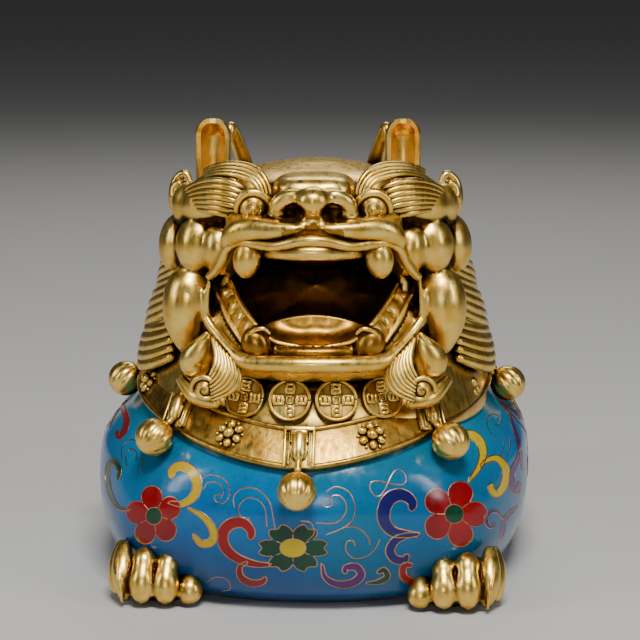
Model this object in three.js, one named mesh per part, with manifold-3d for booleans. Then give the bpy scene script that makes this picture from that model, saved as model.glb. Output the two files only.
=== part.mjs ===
// A gilt and enamelled pixiu: a squat beast with a wide open mouth, a belled collar and a round belly.
// Millimetres, +Z up, the face towards -Y. The origin is on the flat underside, below the shoulders.
import * as THREE from "three";
import { mergeVertices } from "three/addons/utils/BufferGeometryUtils.js";
import Module from "manifold-3d";

const wasm = await Module();
wasm.setup();

// Driving dimensions, each one free to change by itself.
const figureHeight = 107; // floor to horn tips
const bellDiameter = 8.6;
const bellStemDiameter = 1.7;
const bellDrop = 4.2; // from the collar's lower edge down to the middle of a bell
const bellCount = 8;
const collarBandThickness = 1.6; // how far the band stands off the enamel
const collarBandWidth = 10;
const beadHeight = 0.6;
const rosetteDiameter = 7;
const rosetteHeight = 2;
const bracketWidth = 7;
const bracketThickness = 1.1;
const tongueWidth = 3.4;
const tongueFoot = 1.3; // how far above the collar's lower edge a bracket's tongue ends
const coinDiameter = 9.6;
const coinThickness = 1.2;
const hornDiameter = 8.4;
const hornWall = 1.3;
const maneFold = 0.9; // half the depth of the folds down the nape
const headTurnDegrees = 2.5; // the head looks a little to its own left
const seamGap = 0.3; // clearance where two pieces meet
const vertexGrid = 0.002;

// The carving is laid out in modules. A figure of the real height has modules of one millimetre.
const modulesHigh = 107;
const module = figureHeight / modulesHigh;

// Horizontal sections of the enamelled body, in modules: height, half width, front and back reach.
const bodySections = [
  [0, 43, -45, 50],
  [4, 47.6, -51.5, 56.5],
  [11, 50.8, -56, 61.5],
  [20, 52, -58, 64],
  [29, 51.4, -56.5, 64],
  [37, 48.9, -51.5, 61],
  [44, 45.6, -45, 57],
  [51, 41, -36, 50],
  [57, 33, -25, 41],
  [61, 21, -9, 29],
  [62.5, 5, 5, 16],
];
// Sections of the neck and mane under the locks, up to the crown.
const neckSections = [
  [26, 35, -42, 34],
  [38, 40.5, -49, 41],
  [46, 40, -46, 41],
  [55, 38, -41, 39.5],
  [64, 35.5, -38.5, 36.5],
  [73, 33, -37, 31.5],
  [81, 30, -36, 26.5],
  [88, 25.5, -33, 20],
  [94, 17, -25, 12],
  [96.5, 5, -12, 0],
];
// Sections of the lower jaw, from the chin up to the corners of the mouth.
const jawSections = [
  [49.5, 15, -43, -18],
  [52, 20.5, -48, -16],
  [55, 23.4, -50, -15],
  [58.5, 24.4, -47, -15],
  [65.5, 26, -38.5, -15],
];
// Swellings on the body: over a foreleg and over a haunch, each on both sides.
const bodySwellings = [
  { x: 37, y: -42, z: 13, reach: 13, push: 2.2 },
  { x: 47, y: 34, z: 20, reach: 19, push: 2.4 },
];

// Above the forelegs the shoulders draw in, by a share of the width that fades out towards the rump.
const shoulderPinch = 0.115;
const pinchRises = [24, 38];
const pinchFades = [8, 36];

// The height of the collar's lower edge, in modules: in front, its climb to the sides and to the back.
const collarFront = 32.5;
const collarSideClimb = 9.5;
const collarBackClimb = 11;
const hornShift = -1.8; // how far both horns stand to the head's own right, in modules
const trimCrowding = 0.12; // how far bells and rosettes crowd towards the front, in radians

const gilt = new THREE.MeshStandardMaterial({ color: 0xc79a34, roughness: 0.32, metalness: 1 });
const enamel = new THREE.MeshStandardMaterial({ color: 0x1a78b4, roughness: 0.12, metalness: 0 });

// Turns a closed geometry into a solid that can be joined and cut.
function solid(geometry) {
  geometry.deleteAttribute("normal");
  geometry.deleteAttribute("uv");
  const merged = mergeVertices(geometry, 1e-4);
  const vertProperties = merged.attributes.position.array;
  return new wasm.Manifold(
    new wasm.Mesh({ numProp: 3, vertProperties, triVerts: new Uint32Array(merged.index.array) }),
  );
}

// Turns a solid back into a geometry, with its vertices on a fine grid and the slivers closed up.
function geometryOf(made) {
  const { numProp, vertProperties, triVerts } = made.getMesh();
  const places = new Map();
  const position = [];
  const placeOf = (i) => {
    const at = [0, 1, 2].map((k) => Math.round(vertProperties[i * numProp + k] / vertexGrid));
    const key = at.join();
    if (!places.has(key)) {
      places.set(key, position.length / 3);
      position.push(...at.map((value) => value * vertexGrid));
    }
    return places.get(key);
  };
  const kept = new Map();
  for (let i = 0; i < triVerts.length; i += 3) {
    const corners = [0, 1, 2].map((k) => placeOf(triVerts[i + k]));
    if (new Set(corners).size < 3) continue;
    const key = [...corners].sort((a, b) => a - b).join();
    if (!kept.delete(key)) kept.set(key, corners);
  }
  const geometry = new THREE.BufferGeometry();
  geometry.setAttribute("position", new THREE.Float32BufferAttribute(position, 3));
  geometry.setIndex([...kept.values()].flat());
  return geometry;
}

// Turns a solid back into a named mesh.
function mesh(name, made, material) {
  const geometry = geometryOf(made);
  geometry.computeVertexNormals();
  const piece = new THREE.Mesh(geometry, material);
  piece.name = name;
  return piece;
}

const joined = (solids) => solids.reduce((sum, next) => sum.add(next));

// Keeps the piece itself, without the crumbs of a cut or the hollows that overlapping locks seal.
function whole(made) {
  const parts = made.decompose();
  return parts.reduce((largest, part) => (part.volume() > largest.volume() ? part : largest));
}

// Moves every vertex of a geometry by a function.
function reshape(geometry, move) {
  const { position } = geometry.attributes;
  const vertex = new THREE.Vector3();
  for (let i = 0; i < position.count; i++) {
    move(vertex.fromBufferAttribute(position, i));
    position.setXYZ(i, vertex.x, vertex.y, vertex.z);
  }
  return geometry;
}

// An upright unit cylinder with its axis along Z, from 0 to 1.
function upright(around, steps) {
  return new THREE.CylinderGeometry(1, 1, 1, around, steps).rotateX(Math.PI / 2).translate(0, 0, 0.5);
}

// A smooth curve through the rows of a table, evenly spaced by row.
function through(rows) {
  const curve = new THREE.CatmullRomCurve3(rows.map((r) => new THREE.Vector3(...r)));
  curve.curveType = "catmullrom";
  return curve;
}

// The surface through a table of sections: a point at a share of the way up and an angle from the front.
function loftSurface(sections, { grow = 0, squareness = 2.3, swellings = [] }) {
  const reach = through(sections.map((s) => s.slice(1)));
  const height = through(sections.map((s) => [s[0], 0, 0]));
  const power = 2 / squareness;
  const rounded = (value) => Math.sign(value) * Math.abs(value) ** power;
  return (share, angle, edge = 1) => {
    const at = reach.getPoint(share).multiplyScalar(module);
    const isBottom = share < 0.01;
    const middle = (at.y + at.z) / 2;
    const point = new THREE.Vector3(
      edge * rounded(Math.sin(angle)) * (at.x + grow),
      middle - edge * rounded(Math.cos(angle)) * ((at.z - at.y) / 2 + grow),
      height.getPoint(share).x * module + grow * (2 * share - 1),
    );
    if (edge < 1 || isBottom) return point;
    const outward = new THREE.Vector3(point.x, point.y - middle, 0).normalize();
    for (const s of swellings) {
      const from = new THREE.Vector3(s.x, s.y, s.z).multiplyScalar(module);
      const away = Math.hypot(Math.abs(point.x) - from.x, point.y - from.y, point.z - from.z);
      point.addScaledVector(outward, s.push * module * Math.exp(-((away / (s.reach * module)) ** 2)));
    }
    return point;
  };
}

// A closed form over such a surface.
function lofted(surface, around, steps) {
  return reshape(upright(around, steps), (v) => {
    v.copy(surface(v.z, Math.atan2(v.x, -v.y), Math.hypot(v.x, v.y) < 0.5 ? 0 : 1));
  });
}

// An egg of given radii, turned by angles in degrees about X, Y and Z, in modules.
function egg([x, y, z], [rx, ry, rz], turn = [0, 0, 0], fine = 12) {
  const angles = turn.map(THREE.MathUtils.degToRad);
  return new THREE.SphereGeometry(1, fine, Math.round(fine * 0.62))
    .rotateX(Math.PI / 2)
    .scale(rx * module, ry * module, rz * module)
    .rotateX(angles[0])
    .rotateY(angles[1])
    .rotateZ(angles[2])
    .translate(x * module, y * module, z * module);
}

// A tapered lock or roll along a smooth path in modules. Its radii are spread evenly along it.
function lock(path, radii, { sides = 6, steps = 6, flatten = 1, towards = [0, -1, 0] } = {}) {
  const curve = new THREE.CatmullRomCurve3(path.map((p) => new THREE.Vector3(...p).multiplyScalar(module)));
  const taper = new THREE.CatmullRomCurve3(radii.map((r) => new THREE.Vector3(r * module, 0, 0)));
  taper.curveType = "catmullrom";
  const facing = new THREE.Vector3(...towards);
  return reshape(upright(sides, steps), (v) => {
    const tangent = curve.getTangent(v.z);
    const across = new THREE.Vector3().crossVectors(tangent, facing).normalize();
    const outward = new THREE.Vector3().crossVectors(across, tangent);
    const radius = taper.getPoint(v.z).x;
    const centre = curve.getPoint(v.z);
    const [side, rise] = [v.x * radius, v.y * radius * flatten];
    v.copy(centre).addScaledVector(across, side).addScaledVector(outward, -rise);
  });
}

const mirrored = ([x, y, z], side) => [x * side, y, z];
const bothSides = (make) => [make(1), make(-1)].flat();

// The enamelled body, and the same form grown by the seam for cutting what meets it.
const bodySurface = (grow) => {
  const surface = loftSurface(bodySections, { grow, swellings: bodySwellings });
  const { smoothstep } = THREE.MathUtils;
  return (share, angle, edge) => {
    const point = surface(share, angle, edge);
    const [low, high] = pinchRises.map((z) => z * module);
    const [near, far] = pinchFades.map((y) => y * module);
    const pinch = shoulderPinch * smoothstep(point.z, low, high) * (1 - smoothstep(point.y, near, far));
    point.x *= 1 - pinch;
    return point;
  };
};
const bodySides = 28;
const bodySolid = (grow) => solid(lofted(bodySurface(grow), bodySides, 10));
const bodySkin = bodySurface(0);

// How far up the body's surface, as a share of its sections, a height is reached at an angle.
function shareAt(angle, height) {
  let [low, high] = [0.02, 0.999];
  for (let i = 0; i < 24; i++) {
    const middle = (low + high) / 2;
    if (bodySkin(middle, angle).z < height) low = middle;
    else high = middle;
  }
  return low;
}

// The share that is a length further up the surface, measured over it.
function walked(share, angle, length) {
  const step = Math.sign(length) * 0.002;
  let left = Math.abs(length);
  let at = bodySkin(share, angle);
  while (left > 0) {
    const next = bodySkin(share + step, angle);
    const gone = next.distanceTo(at);
    if (gone >= left) return share + (step * left) / gone;
    left -= gone;
    share += step;
    at = next;
  }
  return share;
}

// A point on the collar: an angle from the front, a length up from its lower edge, and off the body.
function onCollar(angle, along, proud) {
  const ahead = Math.max(0, Math.cos(angle));
  const behind = Math.max(0, -Math.cos(angle));
  const climb = collarSideClimb * (1 - ahead ** 2) ** 0.6 + collarBackClimb * behind ** 1.5;
  const edge = (collarFront + climb) * module;
  const share = walked(shareAt(angle, edge), angle, along);
  const at = bodySkin(share, angle);
  const up = bodySkin(share + 0.004, angle).sub(at);
  const across = bodySkin(share, angle + 0.01).sub(at);
  return at.addScaledVector(across.cross(up).normalize(), proud);
}

// A closed ring round the neck with a section given as steps along the band and off the body.
function ringWith(outline) {
  const ring = new THREE.TorusGeometry(10, 1, outline.length, bodySides);
  return solid(
    reshape(ring, (v) => {
      const angle = Math.atan2(v.x, -v.y);
      const round = Math.atan2(v.z, Math.hypot(v.x, v.y) - 10);
      const index = Math.round((round / (2 * Math.PI)) * outline.length + outline.length) % outline.length;
      v.copy(onCollar(angle, ...outline[index]));
    }),
  );
}

// The collar's band lies on the body, with a bead along each edge.
function collarBand() {
  const bead = collarBandWidth * 0.12;
  const face = collarBandThickness;
  const proud = face + beadHeight;
  return ringWith([
    [0, proud],
    [bead, proud],
    [bead * 1.4, face],
    [collarBandWidth - bead * 1.4, face],
    [collarBandWidth - bead, proud],
    [collarBandWidth, proud],
    [collarBandWidth, seamGap],
    [collarBandWidth / 2, seamGap],
    [0, seamGap],
  ]);
}

// Even steps round the collar, drawn a little towards its front and back. Bells and rosettes take turns.
const trimAngle = (step) => {
  const even = (step / bellCount) * Math.PI;
  return even - trimCrowding * Math.sin(2 * even);
};
const bellAngles = Array.from({ length: bellCount }, (_, i) => trimAngle(2 * i));
const rosetteAngles = Array.from({ length: bellCount }, (_, i) => trimAngle(2 * i + 1));

// The space that the collar and its brackets take, with the seam round them.
function collarSpace() {
  const proud = collarBandThickness + beadHeight + seamGap;
  const far = collarBandWidth + seamGap;
  const ring = ringWith([
    [-seamGap, proud],
    [far, proud],
    [far, -1],
    [-seamGap, -1],
  ]);
  const block = (angle, width, height) => {
    const form = new THREE.BoxGeometry(width + seamGap * 2, far + seamGap, (height + seamGap) * 2);
    return solid(onBand(form, angle, collarBandWidth / 2, collarBandThickness));
  };
  const plates = bellAngles.map((angle) => block(angle, bracketWidth, bracketThickness + tongueWidth / 2));
  const rounds = rosetteAngles.map((angle) => block(angle, rosetteDiameter, rosetteHeight));
  return joined([ring, ...plates, ...rounds]);
}

// Places a small form, made facing +Z with its top towards +Y, on the band at an angle round it.
function onBand(geometry, angle, along, proud) {
  const at = onCollar(angle, along, proud);
  const up = onCollar(angle, along + 1, proud).sub(at).normalize();
  const ahead = onCollar(angle + 0.02, along, proud).sub(at).normalize();
  const facing = new THREE.Vector3().crossVectors(ahead, up).normalize();
  const side = new THREE.Vector3().crossVectors(up, facing);
  const placed = new THREE.Matrix4().makeBasis(side, up, facing).setPosition(at);
  return geometry.applyMatrix4(placed);
}

// A rosette: a low faceted dome, one facet to a petal.
function rosette(angle) {
  const petals = 6;
  const radius = rosetteDiameter / 2;
  const dome = reshape(new THREE.SphereGeometry(1, petals, 3).rotateX(Math.PI / 2), (v) => {
    const rise = v.z > 0 ? rosetteHeight : collarBandThickness * 0.4;
    v.set(v.x * radius, v.y * radius, v.z * rise);
  });
  return solid(onBand(dome, angle, collarBandWidth / 2, collarBandThickness));
}

// A bracket: a plate across the band with a rounded tongue that carries the bell.
function bracket(angle) {
  const depth = bracketThickness + collarBandThickness / 2;
  const plate = new THREE.BoxGeometry(bracketWidth, collarBandWidth, depth);
  plate.translate(0, 0, bracketThickness - depth / 2);
  const length = collarBandWidth * 0.7;
  const tongue = new THREE.CylinderGeometry(tongueWidth / 2, tongueWidth * 0.36, length, 4);
  tongue.translate(0, tongueFoot + (length - collarBandWidth) / 2, bracketThickness);
  const placed = [plate, tongue].map((g) => onBand(g, angle, collarBandWidth / 2, collarBandThickness));
  return joined(placed.map(solid));
}

// A ribbed round bell that hangs just clear of the body, on a short stem from its bracket.
function bell(angle) {
  const ribs = 4;
  const radius = bellDiameter / 2;
  const ball = reshape(new THREE.SphereGeometry(radius, ribs * 2, 4).rotateX(Math.PI / 2), (v) => {
    const fold = 0.95 + 0.05 * Math.cos(Math.atan2(v.y, v.x) * ribs);
    v.set(v.x * fold, v.y * fold, v.z);
  });
  const middle = onCollar(angle, -bellDrop, radius + seamGap);
  const hook = onCollar(angle, tongueFoot - seamGap * 2, radius * 0.9);
  const along = hook.clone().sub(middle);
  const upwards = new THREE.Vector3(0, 0, 1);
  const turn = new THREE.Quaternion().setFromUnitVectors(upwards, along.clone().normalize());
  const stem = upright(4, 1).scale(bellStemDiameter / 2, bellStemDiameter / 2, along.length());
  const placed = [ball, stem.applyQuaternion(turn)].map((g) => g.translate(middle.x, middle.y, middle.z));
  return joined(placed.map(solid));
}

function collarWithTrim() {
  return joined([collarBand(), ...bellAngles.map(bracket), ...rosetteAngles.map(rosette)]);
}

// A paw: a broad pad with four long toes, and a pointed tuft on the outside.
function paw({ x, y, toeTurn, halfWidth, length, side }) {
  const middle = [x * side, y, 4.5];
  const forms = [egg(middle, [halfWidth, length, 8.5], [0, 0, toeTurn * side], 7)];
  const turn = THREE.MathUtils.degToRad(toeTurn * side);
  const forward = ([across, ahead, up]) => [
    middle[0] + across * Math.cos(turn) + ahead * Math.sin(turn),
    middle[1] + across * Math.sin(turn) - ahead * Math.cos(turn),
    up,
  ];
  for (const [across, ahead] of [[-0.73, 0.78], [-0.25, 0.98], [0.25, 1], [0.75, 0.82]]) {
    const toe = [[-6, 8.4], [-1.4, 8.6], [0.6, 0.2]].map(([step, up]) =>
      forward([across * halfWidth * side, ahead * length + step, up]),
    );
    const radii = [0.2, 0.29, 0.22].map((share) => share * halfWidth);
    forms.push(lock(toe, radii, { sides: 4, steps: 2, towards: [1, 0, 0] }));
  }
  const tuft = [[0.94, 0.3, 2], [1.08, 0.2, 8], [1, -0.1, 15.5]];
  const placed = tuft.map(([a, f, u]) => forward([a * halfWidth * side, f * length, u]));
  forms.push(lock(placed, [3.2, 3, 0.6], { steps: 2, sides: 4 }));
  return joined(forms.map(solid));
}

// A swept-back horn, hollowed along its front like a gutter.
function horn(side) {
  const radius = hornDiameter / 2 / module;
  const top = modulesHigh - radius;
  const placed = ([x, y, drop]) => [x * side + hornShift, y, top - drop];
  const spine = [[12, 10, 15.8], [15.5, 2, 6.3], [19.2, -6, 3.3], [21.4, -12, 7.8]];
  const sweep = { towards: [0, 0, 1], steps: 2, sides: 5 };
  const ridge = lock(spine.map(placed), [1.5, 2.6, 3, 2.6], sweep);
  const hood = egg(placed([22, -15, 0]), [radius, radius * 0.92, radius], [0, 0, 0], 7);
  const pipe = lock(
    [[22, -15, 0], [21.6, -15.4, 7.8], [20.2, -15.6, 18.8]].map(placed),
    [radius, radius * 0.98, radius * 0.8],
    { sides: 7, steps: 1 },
  );
  const bore = radius - hornWall / module;
  const scoop = lock(
    [[22, -17.6, 0.2], [21.8, -18.4, 5.8], [21.4, -20, 10.8]].map(placed),
    [bore, bore, bore * 0.9],
    { sides: 5, steps: 1 },
  );
  const scoopTop = egg(placed([22, -17.6, 0]), [bore, bore * 1.15, bore], [0, 0, 0], 6);
  return joined([ridge, hood, pipe].map(solid)).subtract(joined([scoop, scoopTop].map(solid)));
}

// An ear: a cupped leaf at the side of the head.
function ear(side) {
  const leaf = egg([29.8 * side, -17.4, 87.6], [3.4, 6.2, 7.4], [0, 14 * side, 0], 6);
  const cup = egg([31.4 * side, -22, 89], [1.8, 3.6, 4.4], [0, 14 * side, 0], 5);
  return solid(leaf).subtract(solid(cup));
}

// Hair above one eye: a bulging pad with rolls fanned over it, ending in a knob at the temple.
function brow(side) {
  const forms = [
    egg([20.5 * side, -31.5, 91], [11, 7.5, 7.2], [0, 22 * side, 0], 7),
    egg([28.2 * side, -27.5, 87], [4.2, 5, 4.8], [0, 0, 0], 6),
  ];
  const rolls = 3;
  for (let i = 0; i < rolls; i++) {
    const t = i / (rolls - 1);
    const path = [
      [9.2 + 8.2 * t, -40 - 0.6 * t, 94 - 5.8 * t],
      [14.5 + 6 * t, -38.6 - 0.6 * t, 98.6 - 7.6 * t],
      [22 + 2.5 * t, -36 + 0.4 * t, 97.6 - 9.6 * t],
      [28.5 + 1 * t, -29.5 - 2 * t, 91.5 - 6 * t],
    ];
    forms.push(lock(path.map((p) => mirrored(p, side)), [0.9, 2.1, 2.1, 0.8], { steps: 2, sides: 4 }));
  }
  return forms;
}

function eye(side) {
  const centre = [13.2 * side, -42.6, 89.2];
  const lid = Array.from({ length: 4 }, (_, i) => {
    const turn = Math.PI * (0.02 + 0.32 * i);
    return [centre[0] + 3.9 * Math.cos(turn), centre[1] - 0.6, centre[2] + 3.9 * Math.sin(turn)];
  });
  return [
    egg(centre, [3, 2.6, 3], [0, 0, 0], 6),
    lock(lid, [0.6, 0.9, 0.9, 0.9, 0.6], { steps: 3, sides: 3 }),
  ];
}

// The round locks beside the mouth, from the temple down to the beard.
function cheek(side) {
  const drop = [[28.6, -30, 74.5], [29, -31.5, 69], [29.6, -32, 61.5], [30, -32.5, 55.5]];
  const leaf = [[23, -44, 60.5], [27, -41, 55.5], [33, -32, 48.5]];
  return [
    egg([25 * side, -31, 79.5], [4.6, 5, 5.6], [0, 0, 0], 7),
    egg([32 * side, -22, 78.2], [4.4, 5.6, 6], [0, 0, 0], 6),
    egg([20.8 * side, -34, 78], [3.6, 5, 4.2], [0, 0, 0], 6),
    lock(drop.map((p) => mirrored(p, side)), [1.5, 4.8, 4.6, 0.6], { sides: 6, steps: 3 }),
    lock(leaf.map((p) => mirrored(p, side)), [0.6, 3, 3.4], { sides: 5, steps: 2 }),
  ];
}

// The bundle of strands that falls from the corner of the jaw and curls up at its end.
function beard(side) {
  const strands = 2;
  const forms = [egg([23.6 * side, -47.5, 44.6], [2.9, 2.8, 2.9], [0, 0, 0], 7)];
  for (let i = 0; i < strands; i++) {
    const t = i / (strands - 1);
    const path = [
      [21.6 - 3.4 * t, -44.6 - 1.6 * t, 60 - 4.4 * t],
      [19.4 - 2.2 * t, -46 - 1.2 * t, 53.5 - 3 * t],
      [20.5 - 1.6 * t, -47.4 - 0.6 * t, 47 - 2.2 * t],
      [23 - 0.8 * t, -48 - 0.4 * t, 43.6 - 1.4 * t],
    ];
    forms.push(lock(path.map((p) => mirrored(p, side)), [0.8, 2.1, 2.1, 0.9], { steps: 3, sides: 3 }));
  }
  return forms;
}

// The upper jaw: muzzle pads, nose, bridge, and a rolled lip that dips round the fangs.
function muzzle() {
  const lip = [
    [-24.6, -35.5, 71.5],
    [-22.6, -40, 76.6],
    [-18.4, -44.4, 81.6],
    [-9.5, -48.6, 81.2],
    [0, -50.4, 83.2],
    [9.5, -48.6, 81.2],
    [18.4, -44.4, 81.6],
    [22.6, -40, 76.6],
    [24.6, -35.5, 71.5],
  ];
  const forms = [
    egg([0, -12, 85], [29.5, 22, 10.5], [0, 0, 0], 8),
    egg([0, -30, 84.5], [22, 18.5, 7.2], [0, 0, 0], 9),
    lock(lip, [1.2, 1.3, 1.3, 1.2, 1.4, 1.2, 1.3, 1.3, 1.2], { steps: 8, sides: 3 }),
    egg([0, -34, 91.8], [8.6, 11, 5.4], [0, 0, 0], 8),
    egg([0, -47.2, 91], [4.4, 4.4, 4.2], [0, 0, 0], 6),
  ];
  forms.push(
    ...bothSides((side) => [
      egg([10.4 * side, -42.4, 85.6], [9.6, 7.2, 3.3], [0, -8 * side, 12 * side], 6),
      egg([6.6 * side, -46, 90], [3.3, 3.8, 3.1], [0, 0, 0], 6),
    ]),
  );
  return forms;
}

// The lower jaw: a rounded trough with a thick rolled lip.
function jaw() {
  const lip = [
    [-24.8, -35, 66],
    [-23.8, -38.5, 62],
    [-17.5, -46, 56.8],
    [-8, -49.8, 56],
    [8, -49.8, 56],
    [17.5, -46, 56.8],
    [23.8, -38.5, 62],
    [24.8, -35, 66],
  ];
  return [
    lock(lip, [1.3, 1.9, 2.1, 2, 2, 2.1, 1.9, 1.3], { steps: 8, sides: 4 }),
    lofted(loftSurface(jawSections, {}), 14, 3),
  ];
}

// The open mouth: wide in front, narrowing to the throat.
function mouthHollow() {
  const outline = new THREE.Shape(
    [
      [-23, 73],
      [-17, 79.5],
      [17, 79.5],
      [23, 73],
      [23, 64],
      [15.5, 57],
      [-15.5, 57],
      [-23, 64],
    ].map(([x, z]) => new THREE.Vector2(x, z)),
  );
  const deep = 44;
  const extrude = { depth: deep, steps: 2, bevelEnabled: false };
  return reshape(new THREE.ExtrudeGeometry(outline, extrude), (v) => {
    const inward = v.z / deep;
    const narrow = 1 - 0.42 * inward ** 2;
    v.set(-v.x * narrow, -60 + v.z, 68 + (v.y - 68) * narrow).multiplyScalar(module);
  });
}

// What stands in the mouth: fangs, the rows of teeth and the tongue.
function teethAndTongue() {
  const plate = { steps: 2, sides: 4 };
  const forms = [
    egg([0, -37, 61.8], [12, 9.5, 2.8], [-6, 0, 0], 7),
    lock([[-11, -42.5, 80], [0, -46, 80.4], [11, -42.5, 80]], [1.6, 1.8, 1.6], plate),
    lock([[-10.5, -44, 57], [0, -47, 57], [10.5, -44, 57]], [1.7, 1.7, 1.7], plate),
  ];
  forms.push(
    ...bothSides((side) => [
      egg([15 * side, -43.6, 78.6], [3.1, 3.1, 5.2], [0, 0, 0], 5),
      egg([12.6 * side, -44.6, 58.6], [3, 2.8, 4], [0, 0, 0], 5),
      lock([[14.6 * side, -42, 59.6], [20.4 * side, -30, 68]], [1.9, 1.6], { steps: 1, sides: 4 }),
    ]),
  );
  return forms;
}

// Three tiers of curving locks behind each cheek.
function mane() {
  const forms = [];
  const tiers = [
    { top: 79, out: 32, drop: 13, back: -12 },
    { top: 69, out: 35, drop: 14, back: -10 },
    { top: 58.5, out: 38.4, drop: 12, back: -9 },
  ];
  const strands = 2;
  for (const side of [1, -1]) {
    for (const { top, out, drop, back } of tiers) {
      for (let i = 0; i < strands; i++) {
        const t = i / (strands - 1);
        const start = [out - 3.2 + 1.8 * t, back - 10 + 3 * t, top - drop * 0.62 * t];
        const middle = [out + 1.6 + 1.2 * t, back + 3 + 2 * t, top - 2 - drop * 0.66 * t];
        const end = [out - 0.5 + 1.6 * t, back + 17, top - 8.5 - drop * 0.5 * t];
        const path = [start, middle, end].map((p) => mirrored(p, side));
        forms.push(lock(path, [1.4, 3.2, 0.8], { sides: 4, steps: 2, towards: [side, 0, 0] }));
      }
    }
  }
  return forms;
}

// Round coins laid in a row on the throat, under the chin.
function coins() {
  const places = [-15.2, -5.1, 5.1, 15.2];
  return places.map((x) => {
    const disc = new THREE.CylinderGeometry(coinDiameter / 2, coinDiameter / 2, coinThickness * 2, 9);
    const lean = THREE.MathUtils.degToRad(24);
    const y = (-46.3 + (x / 22) ** 2 * 7.5) * module;
    disc.rotateX(-lean).rotateZ(THREE.MathUtils.degToRad(x * 1.35));
    return disc.translate(x * module, y, 47 * module);
  });
}

// The level direction away from the middle at an angle from the front.
const outwardAt = (angle) => new THREE.Vector3(Math.sin(angle), -Math.cos(angle), 0);

// The neck, crown and nape, with locks combed down its back as upright folds.
function neck() {
  const surface = loftSurface(neckSections, {});
  const sides = 28;
  return lofted(
    (share, angle, edge) => {
      const point = surface(share, angle, edge);
      const behind = edge * Math.max(0, -Math.cos(angle)) * Math.sin(Math.PI * share);
      const fold = Math.cos((angle * sides) / 2) * maneFold * behind;
      return point.addScaledVector(outwardAt(angle), fold);
    },
    sides,
    5,
  );
}

function headSolid() {
  const turn = new THREE.Matrix4().makeRotationZ(THREE.MathUtils.degToRad(headTurnDegrees));
  const carved = (geometries) => joined(geometries.map((g) => solid(g.applyMatrix4(turn))));
  const face = [
    neck(),
    ...muzzle(),
    ...jaw(),
    ...bothSides(brow),
    ...bothSides(eye),
    ...bothSides(cheek),
  ];
  const nostrils = bothSides((side) => [egg([4.6 * side, -50.2, 89.6], [1.8, 3.6, 1.8], [0, 0, 0], 6)]);
  const outer = carved([...bothSides(beard), ...mane(), ...coins()]);
  const horns = bothSides((side) => [horn(side), ear(side)]).map((s) =>
    solid(geometryOf(s).applyMatrix4(turn)),
  );
  return carved(face)
    .subtract(carved([mouthHollow(), ...nostrils]))
    .add(carved(teethAndTongue()))
    .add(outer)
    .add(joined(horns));
}

// The tail: a gilt flame laid up the rump, a broad curl between two smaller ones.
function tail() {
  const middle = [[0, 62.5, 22], [0, 66, 31], [2.5, 64, 41], [-1.5, 59, 49], [-5.5, 55, 51.5]];
  const beside = [[3, 63, 23], [9, 64.5, 28], [13, 61.5, 36], [9.5, 60.5, 42]];
  const tongues = [middle, beside, beside.map((p) => mirrored(p, -1))];
  const radii = [2.6, 5, 4, 2.4, 0.8];
  return joined(tongues.map((path) => solid(lock(path, radii, { sides: 4, steps: 4, towards: [0, 1, 0] }))));
}

function pixiu() {
  const group = new THREE.Group();
  const body = bodySolid(0);
  const bodyGrown = bodySolid(seamGap);
  const reach = 4 * figureHeight;
  const floor = solid(new THREE.BoxGeometry(reach, reach, reach).translate(0, 0, -reach / 2));
  const taken = bodyGrown.add(collarSpace());
  group.add(mesh("body", body, enamel));
  group.add(mesh("head", whole(headSolid().subtract(taken)), gilt));
  group.add(mesh("collar", collarWithTrim(), gilt));
  const fore = { y: -38, toeTurn: 5, halfWidth: 10.2, length: 11.5 };
  const hind = { x: 41.5, y: 33, toeTurn: 10, halfWidth: 10.8, length: 14 };
  const paws = {
    paw_front_right: { ...fore, x: 33.6, side: 1 },
    paw_front_left: { ...fore, x: 31.8, side: -1 },
    paw_hind_right: { ...hind, side: 1 },
    paw_hind_left: { ...hind, side: -1 },
  };
  for (const [name, place] of Object.entries(paws)) {
    group.add(mesh(name, whole(paw(place).subtract(bodyGrown).subtract(floor)), gilt));
  }
  bellAngles.forEach((angle, i) => {
    group.add(mesh(`bell_${i + 1}`, bell(angle), gilt));
  });
  group.add(mesh("tail", tail().subtract(bodyGrown), gilt));
  return group;
}

export default pixiu();
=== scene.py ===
import math
import random

import bmesh
import bpy
import numpy as np
from mathutils import Matrix, Vector
from mathutils.bvhtree import BVHTree


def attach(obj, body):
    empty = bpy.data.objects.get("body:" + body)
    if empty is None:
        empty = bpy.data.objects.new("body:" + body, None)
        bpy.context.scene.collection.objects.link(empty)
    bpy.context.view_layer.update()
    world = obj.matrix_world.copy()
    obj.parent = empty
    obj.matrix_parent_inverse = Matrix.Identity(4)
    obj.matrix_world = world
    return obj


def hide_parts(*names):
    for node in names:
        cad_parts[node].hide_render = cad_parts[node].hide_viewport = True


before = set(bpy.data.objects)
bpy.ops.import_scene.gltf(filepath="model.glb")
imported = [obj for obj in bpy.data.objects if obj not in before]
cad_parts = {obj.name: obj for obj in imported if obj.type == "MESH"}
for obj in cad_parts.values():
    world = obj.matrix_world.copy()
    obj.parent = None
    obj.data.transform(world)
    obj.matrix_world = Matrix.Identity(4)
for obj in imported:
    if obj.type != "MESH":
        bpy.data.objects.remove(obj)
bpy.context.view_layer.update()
mm = 0.001

# Where the camera stands and what it looks at, in millimetres and degrees.
camera = {
    "target": (1, 5, 56),
    "distance": 520,
    "azimuth": 3.5,
    "elevation": 10,
    "lens": 119.5,
    "focal": 2125,
}
headTurn = Matrix.Translation((0.6, 0, 0)) @ Matrix.Rotation(math.radians(2.5), 4, "Z")

print("stage: helpers")


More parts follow.
